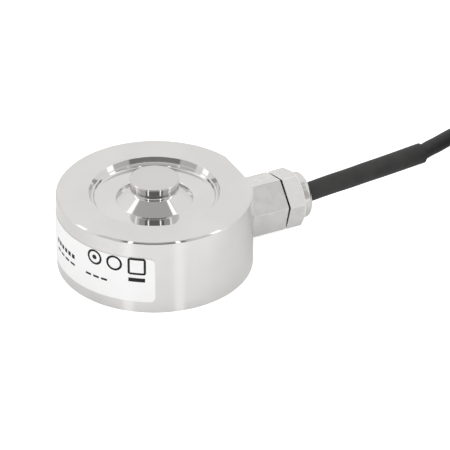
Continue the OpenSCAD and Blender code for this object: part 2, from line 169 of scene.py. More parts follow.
# %% A round line through points
def round_line(name, points, diameter, resolution=3, sides=8, flare=0.0):
    """An open curve through the points, with a round section that may widen to its end."""
    curve = bpy.data.curves.new(name, "CURVE")
    curve.dimensions = "3D"
    curve.resolution_u = resolution
    curve.bevel_depth = 1
    curve.bevel_resolution = sides
    curve.use_fill_caps = True
    spline = curve.splines.new("BEZIER")
    spline.bezier_points.add(len(points) - 1)
    for i, (knot, point) in enumerate(zip(spline.bezier_points, points)):
        knot.co = point
        knot.radius = diameter / 2 * (1 + flare * i / (len(points) - 1))
        knot.handle_left_type = "AUTO"
        knot.handle_right_type = "AUTO"
    line = bpy.data.objects.new(name, curve)
    bpy.context.scene.collection.objects.link(line)
    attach(line, "root")
    return line


cable = round_line("signal_cable", route + coil_points() + tail, CABLE_D)
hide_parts("cable", "cable_coil", "cable_tail")
print("cable drawn through", len(cable.data.splines[0].bezier_points), "points")

# %% [markdown]
# ## The flying leads
# At the far end the jacket is stripped for 40 mm. Four insulated cores and the sleeved screen
# fan out on the coil, and each ends in a few millimetres of bare, tinned strands, ready for
# a terminal. The leads are short cords, so they are curves as the cable is. Every lead
# starts at its own seat in the jacket's end, bends round the coil's middle as the turns under
# it do, and sinks onto them on the way.

# %% The leads
LEAD_D = 1.1 * MM
SCREEN_D = 0.88 * MM
LEAD_LINE = [
    (0, 0, 0), (1.5, 0, 0), (6, 0.14, 0.4), (11, 0.38, 0.85), (17, 0.63, 1),
    (22, 0.78, 1), (28, 0.9, 1), (34, 0.98, 1), (40, 1, 1),
]
BARE_L = 5 * MM
LEADS = {
    "red": (LEAD_D, (1, 0.8), 4.5),
    "black": (LEAD_D, (0.9, -0.9), 1.9),
    "green": (LEAD_D, (-0.9, -0.9), -1.9),
    "white": (LEAD_D, (-1, 0.8), -5.5),
    "shield": (SCREEN_D, (0, 0), 0),
}
coil_top = first_layer_z + (LAYERS - 1) * PITCH + CABLE_D / 2
tail_way = (tail[-1] - tail[-2]).normalized()
tail_side = Vector((0, 0, 1)).cross(tail_way).normalized()
tail_reach = (tail[-1].xy - coil_centre.xy).length


def lead_points(diameter, seat, spread):
    """The points of one lead, from the jacket's end to its own tip."""
    points = []
    for far, share, drop in LEAD_LINE:
        radius = tail_reach + (seat[0] + share * spread) * MM
        turn = far * MM / (tail_reach + spread * MM)
        height = seat[1] * MM
        fall = drop * (tail[-1].z + height - diameter / 2 - coil_top)
        onward = tail_way * radius * math.sin(turn)
        outward = tail_side * (radius * math.cos(turn) - tail_reach)
        points.append(tail[-1] + onward + outward + Vector((0, 0, height - fall)))
    return points


def shortened(points, cut_off):
    """The same points, with the last one drawn back by the given length."""
    step = points[-1] - points[-2]
    return points[:-1] + [points[-1] - step.normalized() * cut_off]


leads = {}
for colour, (diameter, seat, spread) in LEADS.items():
    points = lead_points(diameter, seat, spread)
    lead = round_line("flying_lead_" + colour, shortened(points, BARE_L), diameter, 6, 4)
    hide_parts("lead_" + colour)
    leads[colour] = (lead, points)
print("leads:", ", ".join(leads))

# %% [markdown]
# ## Tools for modelling
# Most pieces here were turned on a lathe, so the main tool draws half of a section and spins
# it about its axis, as the lathe does. Corners of the section are rounded first, while they are
# still single vertices. Hexagons, flats and holes are then cut with a Boolean modifier, which
# is applied at once so that each piece ends as one plain mesh.

# %% Objects from bmeshes
MERGE = 0.001 * MM
SHARP = math.radians(14)


def new_piece(name, shape):
    """An object made from a bmesh. It stays at the origin, and its place is in its mesh."""
    bmesh.ops.recalc_face_normals(shape, faces=shape.faces[:])
    mesh = bpy.data.meshes.new(name)
    shape.to_mesh(mesh)
    shape.free()
    piece = bpy.data.objects.new(name, mesh)
    bpy.context.scene.collection.objects.link(piece)
    return piece


def apply_modifiers(piece):
    """Makes what the modifiers show the piece's own mesh."""
    seen = piece.evaluated_get(bpy.context.evaluated_depsgraph_get())
    mesh = bpy.data.meshes.new_from_object(seen)
    mesh.name = piece.name
    piece.modifiers.clear()
    piece.data = mesh


def combine(piece, tool, operation):
    """Cuts the tool away, adds it, or keeps only what is in both. The tool is used up."""
    boolean = piece.modifiers.new("combine", "BOOLEAN")
    boolean.operation = operation
    boolean.solver = "EXACT"
    boolean.object = tool
    bpy.context.view_layer.update()
    apply_modifiers(piece)
    bpy.data.objects.remove(tool)


# %% Edges and shading
def break_edges(piece, width, segments=2, from_angle=math.radians(18)):
    """Rounds every sharp edge a little, because real edges catch the light."""
    bevel = piece.modifiers.new("edges", "BEVEL")
    bevel.width = width
    bevel.segments = segments
    bevel.limit_method = "ANGLE"
    bevel.angle_limit = from_angle
    bevel.use_clamp_overlap = True
    apply_modifiers(piece)


def shade(piece, sharp=SHARP):
    """Smooth shading between sharp edges, with flat faces kept truly flat."""
    piece.data.shade_smooth()
    piece.data.set_sharp_from_angle(angle=sharp)
    weighted = piece.modifiers.new("normals", "WEIGHTED_NORMAL")
    weighted.keep_sharp = True
    weighted.weight = 100
    apply_modifiers(piece)


# %% Turning
ROUND_STEPS = 8


def turned(outline, steps=240):
    """Spins an outline about Z. A point is a distance from the axis, a height and, where its
    corner is rounded, how far from the corner the rounding starts."""
    shape = bmesh.new()
    corners = [shape.verts.new((point[0], 0, point[1])) for point in outline]
    for start, end in zip(corners, corners[1:]):
        shape.edges.new((start, end))
    if outline[0][0] > 0:
        shape.edges.new((corners[-1], corners[0]))
    for corner, point in zip(corners, outline):
        if len(point) > 2:
            bmesh.ops.bevel(
                shape, geom=[corner], offset=point[2], offset_type="OFFSET", affect="VERTICES",
                segments=ROUND_STEPS, profile=0.5, material=-1,
            )
    bmesh.ops.spin(
        shape, geom=shape.verts[:] + shape.edges[:], cent=(0, 0, 0), axis=(0, 0, 1),
        angle=2 * math.pi, steps=steps, use_merge=True,
    )
    bmesh.ops.remove_doubles(shape, verts=shape.verts[:], dist=MERGE)
    return shape


def arc(centre, radius, start_deg, end_deg, steps):
    """Points along an arc, for an outline."""
    angles = [math.radians(start_deg + (end_deg - start_deg) * i / steps) for i in range(steps + 1)]
    return [(centre[0] + radius * math.cos(a), centre[1] + radius * math.sin(a)) for a in angles]


# %% [markdown]
# ## The body
# Drum, diaphragm and load button are turned from one bar of steel, so here they are one
# outline too. Two details decide how the part looks: the cove that runs from the button's
# neck into the cone, and the foot of the recess. Its wall leans inwards, ends on a narrow step
# and runs out in a fillet, and a shallow groove parts the floor from the cone. These edges
# spread a reflection into the thin bright lines that make turned steel look polished. After the
# spin the flat for the gland is sliced off and the port and the four tapped holes are drilled.

# %% Sizes of the body
body_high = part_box("sensor_body")[1]
BODY_R = body_high.y
FLAT_X = body_high.x
BUTTON_TOP = body_high.z
RIM_Z = 24.8 * MM
RECESS_R = 20 * MM
FLOOR_Z = RIM_Z - 2.4 * MM
STEP_R = RECESS_R - 0.8 * MM
STEP_Z = FLOOR_Z + 0.95 * MM
STEP_W = 0.45 * MM
STEP_FALL = 0.05 * MM
FOOT_R = RECESS_R - 1.7 * MM
FOOT_FILLET = 0.35 * MM
CONE_R = 11.6 * MM
GROOVE = 0.1 * MM
WAIST_R = 7.05 * MM
WAIST_Z = RIM_Z + 1.7 * MM
COVE_R = 1.4 * MM
BUTTON_R = 7.55 * MM
BUTTON_EDGE_Z = RIM_Z + 4.3 * MM
BUTTON_CHAMFER = 0.3 * MM
DOME_R = 60 * MM
CEILING_Z = FLOOR_Z - 4 * MM
CAVITY_R = BODY_R - 9 * MM
CAVITY_FILLET = 1.5 * MM
POCKET_R = CAVITY_R + 1 * MM
HUB_R = 8 * MM
BOSS_R = 6 * MM
BOARD_Z = 8 * MM
LEDGE_Z = 1.8 * MM
BOSS_Z = LEDGE_Z + 2.2 * MM
EDGE = 0.08 * MM
CHAMFER = 0.5 * MM
BASE_CHAMFER = 0.3 * MM


# %% The body's outline
def cone_corner():
    """Where the cone's line meets the neck's, and where the cove starts on each of them."""
    cove = Vector((WAIST_R + COVE_R, WAIST_Z))
    foot = Vector((CONE_R, FLOOR_Z))
    reach = (cove - foot).length
    slope = math.atan2(cove.y - foot.y, foot.x - cove.x) - math.asin(COVE_R / reach)
    height = FLOOR_Z + (CONE_R - WAIST_R) * math.tan(slope)
    return (WAIST_R, height, COVE_R * math.tan((math.pi / 2 - slope) / 2))


def dome():
    """The slightly domed loading face, from its chamfer to the axis."""
    centre = (0, BUTTON_TOP - DOME_R)
    rise = math.degrees(math.acos((BUTTON_R - BUTTON_CHAMFER) / DOME_R))
    points = arc(centre, DOME_R, rise, 90, 10)
    return points[:-1] + [(0, BUTTON_TOP)]


body_outline = [
    (0, BOSS_Z), (BOSS_R, BOSS_Z, EDGE), (BOSS_R, BOARD_Z), (HUB_R, BOARD_Z, EDGE),
    (HUB_R, CEILING_Z, CAVITY_FILLET), (CAVITY_R, CEILING_Z, CAVITY_FILLET),
    (CAVITY_R, LEDGE_Z, EDGE), (POCKET_R, LEDGE_Z), (POCKET_R, 0, EDGE),
    (BODY_R - BASE_CHAMFER, 0, EDGE), (BODY_R, BASE_CHAMFER, EDGE),
    (BODY_R, RIM_Z - CHAMFER, EDGE), (BODY_R - CHAMFER, RIM_Z, EDGE),
    (RECESS_R, RIM_Z, EDGE), (STEP_R, STEP_Z), (STEP_R - STEP_W, STEP_Z - STEP_FALL),
    (FOOT_R, FLOOR_Z, FOOT_FILLET),
    (CONE_R + 2 * GROOVE, FLOOR_Z), (CONE_R + GROOVE, FLOOR_Z - GROOVE), (CONE_R, FLOOR_Z),
    cone_corner(), (BUTTON_R, BUTTON_EDGE_Z, EDGE),
] + dome()
body = new_piece("turned_body", turned(body_outline))
print("body turned:", len(body.data.polygons), "faces")

# %% [markdown]
# ## The flat, the port and the tapped holes
# The gland needs a flat seat, so one side of the drum is milled away. A bisect operator slices
# the mesh there and a new face closes the cut. The holes are Boolean cuts. The cutter of a
# tapped hole is itself turned, with one ridge for each thread, which leaves the grooves.

# %% Milling the flat
GLAND_Z = 10 * MM
THREAD_R = 5.95 * MM
PORT_GAP = 0.05 * MM
gland_axis = Matrix.Translation((0, 0, GLAND_Z)) @ Matrix.Rotation(math.pi / 2, 4, "Y")


def mill_flat(piece):
    """Slices off what lies beyond the flat, and closes the cut."""
    shape = bmesh.new()
    shape.from_mesh(piece.data)
    everything = shape.verts[:] + shape.edges[:] + shape.faces[:]
    cut = bmesh.ops.bisect_plane(
        shape, geom=everything, plane_co=(FLAT_X, 0, 0), plane_no=(1, 0, 0), clear_outer=True,
    )
    rim = [e for e in cut["geom_cut"] if isinstance(e, bmesh.types.BMEdge)]
    bmesh.ops.edgeloop_fill(shape, edges=rim)
    bmesh.ops.recalc_face_normals(shape, faces=shape.faces[:])
    shape.to_mesh(piece.data)
    shape.free()


mill_flat(body)

# %% Drilling
HOLE_R = 1.65 * MM
HOLE_DEPTH = 8 * MM
THREAD_PITCH = 0.7 * MM
THREAD_DEPTH = 0.3 * MM
HOLE_COUNT = 4
HOLE_FIRST = 45


def tapped_cutter():
    """The shape of one tapped hole, with a ridge for each thread, pointing up from the base."""
    outline = [(0, -1 * MM), (HOLE_R, -1 * MM)]
    turns = int((HOLE_DEPTH - 1.5 * MM) / THREAD_PITCH)
    for i in range(turns):
        z = i * THREAD_PITCH + 0.2 * MM
        outline += [(HOLE_R, z), (HOLE_R + THREAD_DEPTH, z + THREAD_PITCH / 2)]
    thread_end = turns * THREAD_PITCH + 0.2 * MM
    outline += [(HOLE_R, thread_end), (HOLE_R, HOLE_DEPTH), (0, HOLE_DEPTH + 1 * MM)]
    return turned(outline, steps=32)


def drill_body(piece):
    """Cuts the gland's port and the ring of tapped holes."""
    port_r = THREAD_R + PORT_GAP
    start = CAVITY_R - 4 * MM
    port = turned([(0, start), (port_r, start), (port_r, BODY_R), (0, BODY_R)], steps=96)
    bmesh.ops.transform(port, matrix=gland_axis, verts=port.verts[:])
    combine(piece, new_piece("port", port), "DIFFERENCE")
    for i in range(HOLE_COUNT):
        hole = tapped_cutter()
        turn = Matrix.Rotation(math.radians(HOLE_FIRST + 360 * i / HOLE_COUNT), 4, "Z")
        place = turn @ Matrix.Translation(((POCKET_R + BODY_R) / 2, 0, 0))
        bmesh.ops.transform(hole, matrix=place, verts=hole.verts[:])
        combine(piece, new_piece("hole", hole), "DIFFERENCE")


drill_body(body)
shade(body)
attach(body, "root")
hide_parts("sensor_body")
print("body milled and drilled:", len(body.data.polygons), "faces")

# %% [markdown]
# ## The cable gland
# The gland is a hexagon screwed into the flat, with a nut that squeezes a rubber ring round
# the cable. Bar stock is turned before it is parted, and that leaves the curved corners at the
# ends of a hexagon. The same two shapes make it here: a hexagonal prism, and the turned blank
# that trims its corners. The edges of the hexagon are then broken, wide enough to catch a line
# of light, and stem, collar and bore follow as Boolean joins and cuts.

# %% Sizes of the gland
HEX_AF = 16.3 * MM
HEX_CORNER_R = HEX_AF / math.sqrt(3)
HEX_X = FLAT_X + 0.3 * MM
HEX_END = HEX_X + 12.7 * MM
NUT_X = HEX_END + 0.6 * MM
COLLAR_X = NUT_X + 5.8 * MM
MOUTH_X = COLLAR_X + 3.1 * MM
COLLAR_R = 7.3 * MM
COLLAR_EDGE = 1.5 * MM
STEM_R = 6.4 * MM
SPIGOT_X = CAVITY_R + 0.3 * MM
WASHER_X = MOUTH_X - 3.1 * MM
SEAL_X = WASHER_X - 8.6 * MM
WASHER_T = 0.7 * MM
SLEEVE_D = 5.9 * MM
GLAND_EDGE = 0.42 * MM
GLAND_TURN = 16.3
NUT_TURN = 18
CABLE_WAY_R = 2.75 * MM
SEAL_R = 5 * MM


# %% Hexagons
def hexagon(start, end, turn_deg):
    """A hexagonal prism on the gland's axis."""
    shape = bmesh.new()
    bmesh.ops.create_cone(
        shape, cap_ends=True, segments=6, radius1=HEX_CORNER_R, radius2=HEX_CORNER_R,
        depth=end - start,
    )
    middle = Matrix.Translation((0, 0, (start + end) / 2))
    turn = Matrix.Rotation(math.radians(turn_deg - 90), 4, "Z")
    bmesh.ops.transform(shape, matrix=gland_axis @ middle @ turn, verts=shape.verts[:])
    return shape


def on_axis(outline, steps=120):
    """A turned shape on the gland's axis."""
    shape = turned(outline, steps)
    bmesh.ops.transform(shape, matrix=gland_axis, verts=shape.verts[:])
    return shape


def trimmed_hexagon(name, start, end, turn_deg, trim_start):
    """A hexagon whose corners are turned down by 30 degrees at one end."""
    piece = new_piece(name, hexagon(start, end, turn_deg))
    face_r = HEX_AF / 2 - 0.15 * MM
    far_r = HEX_CORNER_R + 1 * MM
    drop = (far_r - face_r) * math.tan(math.radians(30))
    if trim_start:
        past = end + 1 * MM
        blank = [(0, start), (face_r, start), (far_r, start + drop), (far_r, past), (0, past)]
    else:
        past = start - 1 * MM
        blank = [(0, past), (far_r, past), (far_r, end - drop), (face_r, end), (0, end)]
    combine(piece, new_piece("blank", on_axis(blank)), "INTERSECT")
    return piece


# %% The gland's body
def threaded_stem():
    """The spigot in the body and the stem that the nut turns on, with its thread."""
    pitch = 1 * MM
    groove = 0.35 * MM
    root_r = STEM_R - groove
    shoulder = HEX_X + 1 * MM
    stem_end = WASHER_X - 0.1 * MM
    outline = [(0, SPIGOT_X), (THREAD_R, SPIGOT_X), (THREAD_R, shoulder), (root_r, shoulder)]
    x = HEX_END - 0.2 * MM
    while x < WASHER_X - pitch:
        outline += [(root_r, x), (STEM_R, x + pitch / 2)]
        x += pitch
    outline += [(root_r, x), (root_r, stem_end), (0, stem_end)]
    return on_axis(outline)


gland = trimmed_hexagon("gland_hex_body", HEX_X, HEX_END, GLAND_TURN, True)
break_edges(gland, GLAND_EDGE)
combine(gland, new_piece("stem", threaded_stem()), "UNION")
open_start = SPIGOT_X - 1 * MM
bore = [(0, open_start), (CABLE_WAY_R, open_start), (CABLE_WAY_R, SEAL_X),
        (SEAL_R, SEAL_X), (SEAL_R, WASHER_X), (0, WASHER_X)]
combine(gland, new_piece("bore", on_axis(bore, 64)), "DIFFERENCE")
shade(gland)
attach(gland, "root")
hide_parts("gland_body")
print("gland body:", len(gland.data.polygons), "faces")

# %% The gland's nut
MOUTH_R = SLEEVE_D / 2 + 0.2 * MM
NUT_BORE_R = STEM_R + 0.1 * MM

nut = trimmed_hexagon("gland_cap_nut", NUT_X, COLLAR_X, NUT_TURN, False)
break_edges(nut, GLAND_EDGE)
sunk = COLLAR_X - 1 * MM
collar = [(0, sunk), (COLLAR_R, sunk), (COLLAR_R, MOUTH_X, COLLAR_EDGE), (0, MOUTH_X)]
combine(nut, new_piece("collar", on_axis(collar)), "UNION")
open_end = NUT_X - 1 * MM
wall_x = WASHER_X + WASHER_T
past_mouth = MOUTH_X + 0.2 * MM
nut_bore = [(0, open_end), (NUT_BORE_R, open_end), (NUT_BORE_R, wall_x), (MOUTH_R, wall_x),
            (MOUTH_R, MOUTH_X - 0.3 * MM), (MOUTH_R + 0.5 * MM, past_mouth), (0, past_mouth)]
combine(nut, new_piece("nut_bore", on_axis(nut_bore, 96)), "DIFFERENCE")
shade(nut)
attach(nut, "root")
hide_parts("gland_nut")
print("gland nut:", len(nut.data.polygons), "faces")

# %% [markdown]
# ## The shrink sleeve
# A heat-shrink tube stiffens the first 45 mm of the cable. It follows the cable's line, a
# little thicker than the jacket, and ends in a clean cut. It shrank less at its far end, so it
# widens towards it by a tenth. A curve through the same points, turned into a mesh and
# given a wall, keeps it exactly round the cable.

# %% The sleeve
SLEEVE_WALL = 0.4 * MM
SLEEVE_START = Vector((48.6, 0, 10)) * MM
SLEEVE_POINTS = 10
SLEEVE_FLARE = 0.1

sleeve_points = [SLEEVE_START] + route[:SLEEVE_POINTS]
sleeve_line = round_line("sleeve_line", sleeve_points, SLEEVE_D, 8, 14, SLEEVE_FLARE)
sleeve_line.data.use_fill_caps = False
bpy.context.view_layer.update()
sleeve_mesh = bpy.data.meshes.new_from_object(sleeve_line)
bpy.data.objects.remove(sleeve_line)
sleeve = bpy.data.objects.new("shrink_sleeve", sleeve_mesh)
bpy.context.scene.collection.objects.link(sleeve)
wall = sleeve.modifiers.new("wall", "SOLIDIFY")
wall.thickness = SLEEVE_WALL
wall.offset = -1
apply_modifiers(sleeve)
shade(sleeve, math.radians(40))
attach(sleeve, "root")
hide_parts("heat_shrink_sleeve")
print("sleeve:", len(sleeve.data.polygons), "faces")

# %% [markdown]
# ## The coil's ties
# Two nylon ties hold the coil. A tie is a flat band, drawn tight through a small head, and the
# spare end is cut off just above it. The band follows the coil's section, a rectangle with
# round corners, so it is a flat outline that is given a width and then hollowed out. Head and
# spare end are small blocks with broken edges, joined to it.

# %% Flat outlines and blocks
TIE_T = 0.9 * MM
TIE_GAP = 0.1 * MM
TIE_W = 3.6 * MM
TIE_HEAD = Vector((3.4, 5.2, 5)) * MM
TIE_AT = {"1": 150, "2": 228}
SPARE_L = 1.6 * MM
SPARE_W = TIE_W - 0.6 * MM


def rounded_plate(low, high, corner_r, width, name):
    """A plate with round corners, drawn in X and Z and as wide as given along Y."""
    shape = bmesh.new()
    places = [(low.x, low.y), (high.x, low.y), (high.x, high.y), (low.x, high.y)]
    shape.faces.new([shape.verts.new((x, -width / 2, z)) for x, z in places])
    bmesh.ops.bevel(
        shape, geom=shape.verts[:], offset=corner_r, offset_type="OFFSET", affect="VERTICES",
        segments=ROUND_STEPS, profile=0.5, material=-1,
    )
    moved = bmesh.ops.extrude_face_region(shape, geom=shape.faces[:])["geom"]
    moved = [v for v in moved if isinstance(v, bmesh.types.BMVert)]
    bmesh.ops.translate(shape, vec=(0, width, 0), verts=moved)
    return new_piece(name, shape)


def block(name, middle, size):
    """A block of the given size about its middle."""
    shape = bmesh.new()
    bmesh.ops.create_cube(shape, size=1)
    bmesh.ops.scale(shape, vec=size, verts=shape.verts[:])
    bmesh.ops.translate(shape, vec=middle, verts=shape.verts[:])
    return new_piece(name, shape)


# %% A tie
def coil_tie(number, turn_deg):
    """The tie round the coil's turns, with its head on the outside of the coil."""
    inside = Vector((INNER_R - CABLE_D / 2 - TIE_GAP, TIE_T))
    outside = Vector((TURN_R + CABLE_D / 2 + TIE_GAP, coil_top + TIE_GAP))
    wall = Vector((TIE_T, TIE_T))
    corner = CABLE_D / 2
    tie = rounded_plate(inside - wall, outside + wall, corner + TIE_T, TIE_W, "nylon_tie_" + number)
    hollow = rounded_plate(inside, outside, corner, 2 * TIE_W, "hollow")
    combine(tie, hollow, "DIFFERENCE")
    break_edges(tie, 0.15 * MM, 2, math.radians(40))
    head_at = Vector((outside.x + (TIE_T + TIE_HEAD.x) / 2, 0, (inside.y + outside.y) / 2))
    head = block("head", head_at, TIE_HEAD)
    break_edges(head, 0.4 * MM, 3)
    combine(tie, head, "UNION")
    spare_at = head_at + Vector((0, 0, (TIE_HEAD.z + SPARE_L) / 2))
    spare = block("spare", spare_at, (TIE_T, SPARE_W, SPARE_L + TIE_T))
    break_edges(spare, 0.12 * MM)
    combine(tie, spare, "UNION")
    place = Matrix.Translation(coil_centre) @ Matrix.Rotation(math.radians(turn_deg), 4, "Z")
    tie.data.transform(place)
    shade(tie, math.radians(40))
    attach(tie, "root")
    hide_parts("coil_tie_" + number)
    return tie


ties = [coil_tie(number, turn_deg) for number, turn_deg in TIE_AT.items()]
print("ties:", [len(tie.data.polygons) for tie in ties], "faces")

# %% [markdown]
# ## The tinned ends
# A core is seven thin strands, six of them twisted round the seventh, and the bare end is
# dipped in solder. A curve object may hold many splines, so one curve draws all seven strands,
# and it is then made one mesh.

# %% Strands
STRAND_D = 0.24 * MM
STRAND_LAY = 3.2 * MM
STRAND_STEPS = 24
STRAND_START = 0.4 * MM


def tinned_end(name, start, end):
    """Seven strands from just inside the insulation to the lead's tip."""
    way = (end - start).normalized()
    side = way.orthogonal().normalized()
    other = way.cross(side)
    root = start - way * STRAND_START
    length = (end - root).length
    curve = bpy.data.curves.new("strands", "CURVE")
    curve.dimensions = "3D"
    curve.bevel_depth = STRAND_D / 2
    curve.bevel_resolution = 2
    curve.use_fill_caps = True
    for strand in range(7):
        spline = curve.splines.new("POLY")
        spline.points.add(STRAND_STEPS)
        for step, knot in enumerate(spline.points):
            far = length * step / STRAND_STEPS
            angle = 2 * math.pi * (strand / 6 + far / STRAND_LAY)
            off = STRAND_D * (side * math.cos(angle) + other * math.sin(angle))
            place = root + way * far + (off if strand < 6 else Vector())
            knot.co = (*place, 1)
    drawn = bpy.data.objects.new("strands", curve)
    bpy.context.scene.collection.objects.link(drawn)
    bpy.context.view_layer.update()
    strands = bpy.data.objects.new(name, bpy.data.meshes.new_from_object(drawn))
    bpy.data.objects.remove(drawn)
    bpy.context.scene.collection.objects.link(strands)
    strands.data.shade_smooth()
    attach(strands, "root")
    return strands


tips = {}
for colour, (lead, points) in leads.items():
    tips[colour] = tinned_end("tinned_end_" + colour, shortened(points, BARE_L)[-1], points[-1])
print("tinned ends:", len(tips))

# %% [markdown]
# The cable is three metres, and its sleeve and ties go with it. Every flying lead
# leaves the cable's end.

# %% The cords' names
for colour, (lead, points) in leads.items():
    "shield_yellow" if colour == "shield" else "core_" + colour
print("cords declared:", 1 + len(leads))

# %% [markdown]
# ## The label
# The label is a strip of white film, stuck round a third of the drum. It starts as a flat
# rectangle whose corners are beveled round, gets its thickness, and is cut into narrow strips
# so that it can bend. Then every point moves from the flat drawing to the drum: the distance
# along the strip becomes an angle. The print is a second, thinner layer that is drawn flat and
# bent by the same function. It shows plain shapes and dashes in place of words.

# %% Bending a flat drawing onto the drum
LABEL_FRONT = math.radians(244.5)
LABEL_ARC = math.radians(118)
LABEL_IN = 0.02 * MM
LABEL_T = 0.15 * MM
LABEL_CORNER = 1.8 * MM
STRIP_W = 0.6 * MM
CORNER_STEPS = 6
label_low, label_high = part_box("label")
label_r = BODY_R + LABEL_IN
label_l = label_r * LABEL_ARC


def cut_in_strips(shape):
    """Cuts a flat drawing across its length, so that it can follow a curve."""
    first = min(v.co.x for v in shape.verts)
    last = max(v.co.x for v in shape.verts)
    count = int((last - first) / STRIP_W)
    for i in range(1, count + 1):
        x = first + (last - first) * i / (count + 1)
        everything = shape.verts[:] + shape.edges[:] + shape.faces[:]
        bmesh.ops.bisect_plane(shape, geom=everything, plane_co=(x, 0, 0), plane_no=(1, 0, 0))


def bent_on_drum(name, shape, radius):
    """Bends a flat drawing round the drum: X runs round it from the label's front edge."""
    cut_in_strips(shape)
    for vert in shape.verts:
        angle = LABEL_FRONT - vert.co.x / label_r
        reach = radius + vert.co.y
        vert.co = (reach * math.cos(angle), reach * math.sin(angle), vert.co.z)
    return new_piece(name, shape)


def thicken(shape, thickness):
    """Gives a flat drawing its thickness, outwards."""
    moved = bmesh.ops.extrude_face_region(shape, geom=shape.faces[:])["geom"]
    moved = [v for v in moved if isinstance(v, bmesh.types.BMVert)]
    bmesh.ops.translate(shape, vec=(0, thickness, 0), verts=moved)


# %% The label's film
def flat_rectangle(start, end, low, high, corner_r=0):
    """A flat rectangle in X and Z, with round corners if a radius is given."""
    shape = bmesh.new()
    places = [(start, low), (end, low), (end, high), (start, high)]
    shape.faces.new([shape.verts.new((x, 0, z)) for x, z in places])
    if corner_r:
        bmesh.ops.bevel(
            shape, geom=shape.verts[:], offset=corner_r, offset_type="OFFSET",
            affect="VERTICES", segments=CORNER_STEPS, profile=0.5, material=-1,
        )
    return shape


film = flat_rectangle(0, label_l, label_low.z, label_high.z, LABEL_CORNER)
thicken(film, LABEL_T)
label = bent_on_drum("type_label", film, label_r)
shade(label, math.radians(40))
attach(label, "root")
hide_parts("label")
print("label:", round(label_l / MM, 1), "mm long,", len(label.data.polygons), "faces")

# %% The print
PRINT_T = 0.02 * MM
LINE_W = 0.7 * MM
BAR = (3 * MM, 8.1 * MM, 11.0 * MM, 12.35 * MM)
SQUARE = (2.7 * MM, 8.3 * MM, 13.5 * MM, 19.3 * MM)
SQUARE_CORNER = 0.8 * MM
RINGS_X = (12.6 * MM, 19.4 * MM)
RINGS_Z = 16.5 * MM
RING_R = 2.6 * MM
DOT_R = 0.8 * MM
DASH_ROWS = [
    # start, how many, length, step, lower edge, upper edge, in millimetres
    (15, 3, 2.1, 2.9, 9.4, 10.1), (28, 6, 1.4, 2.1, 11.8, 13.2), (28, 4, 2.2, 3.1, 9.4, 10.1),
    (45, 4, 2.2, 3.1, 14.2, 14.9), (45, 5, 1.5, 2.3, 11.8, 12.5), (45, 3, 2.4, 3.3, 9.4, 10.1),
]


def frame_of(shape, width):
    """Leaves only a line of the given width along the edge of a flat shape."""
    inner = shape.faces[:]
    bmesh.ops.inset_region(
        shape, faces=inner, thickness=width, use_boundary=True, use_even_offset=True,
    )
    bmesh.ops.delete(shape, geom=inner, context="FACES")
    return shape


def disc(middle_x, middle_z, radius, segments=32):
    """A flat round disc in X and Z."""
    shape = bmesh.new()
    bmesh.ops.create_circle(shape, cap_ends=True, segments=segments, radius=radius)
    upright = Matrix.Translation((middle_x, 0, middle_z)) @ Matrix.Rotation(math.pi / 2, 4, "X")
    bmesh.ops.transform(shape, matrix=upright, verts=shape.verts[:])
    return shape


def printed_shapes():
    """The label's print: a bar, three plain outlines, and rows of dashes."""
    shapes = [flat_rectangle(*BAR), frame_of(flat_rectangle(*SQUARE, SQUARE_CORNER), LINE_W)]
    shapes += [frame_of(disc(x, RINGS_Z, RING_R), LINE_W) for x in RINGS_X]
    shapes.append(disc(RINGS_X[-1], RINGS_Z, DOT_R, 20))
    for start, count, length, step, low, high in DASH_ROWS:
        for i in range(count):
            x = start + i * step
            shapes.append(flat_rectangle(x * MM, (x + length) * MM, low * MM, high * MM))
    return shapes


ink = bmesh.new()
for shape in printed_shapes():
    thicken(shape, PRINT_T)
    cut_in_strips(shape)
    drawn = bpy.data.meshes.new("shape")
    shape.to_mesh(drawn)
    shape.free()
    ink.from_mesh(drawn)
    bpy.data.meshes.remove(drawn)
label_print = bent_on_drum("label_print", ink, label_r + LABEL_T)
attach(label_print, "root")
print("print:", len(label_print.data.polygons), "faces")

# %% [markdown]
# ## Shader maths in plain expressions
# Every finish here is worked out from a point's place on the part, with nodes and no pictures.
# Nodes for sums and products are tedious to add one at a time, so a small class wraps a
# socket and turns Python's operators into Math nodes. Any other node comes from one method
# that takes its type, its settings and what goes into its sockets.

# %% Wires and graphs
class Wire:
    """A socket of a node. Sums, differences and products of wires are Math nodes."""

    def __init__(self, graph, socket):
        self.graph = graph
        self.socket = socket

    def __add__(self, other):
        return self.graph.maths("ADD", self, other)

    def __radd__(self, other):
        return self.graph.maths("ADD", other, self)

    def __sub__(self, other):
        return self.graph.maths("SUBTRACT", self, other)

    def __rsub__(self, other):
        return self.graph.maths("SUBTRACT", other, self)

    def __mul__(self, other):
        return self.graph.maths("MULTIPLY", self, other)

    def __rmul__(self, other):
        return self.graph.maths("MULTIPLY", other, self)

    def __truediv__(self, other):
        return self.graph.maths("DIVIDE", self, other)

    def __pow__(self, other):
        return self.graph.maths("POWER", self, other)

    def __abs__(self):
        return self.graph.maths("ABSOLUTE", self)


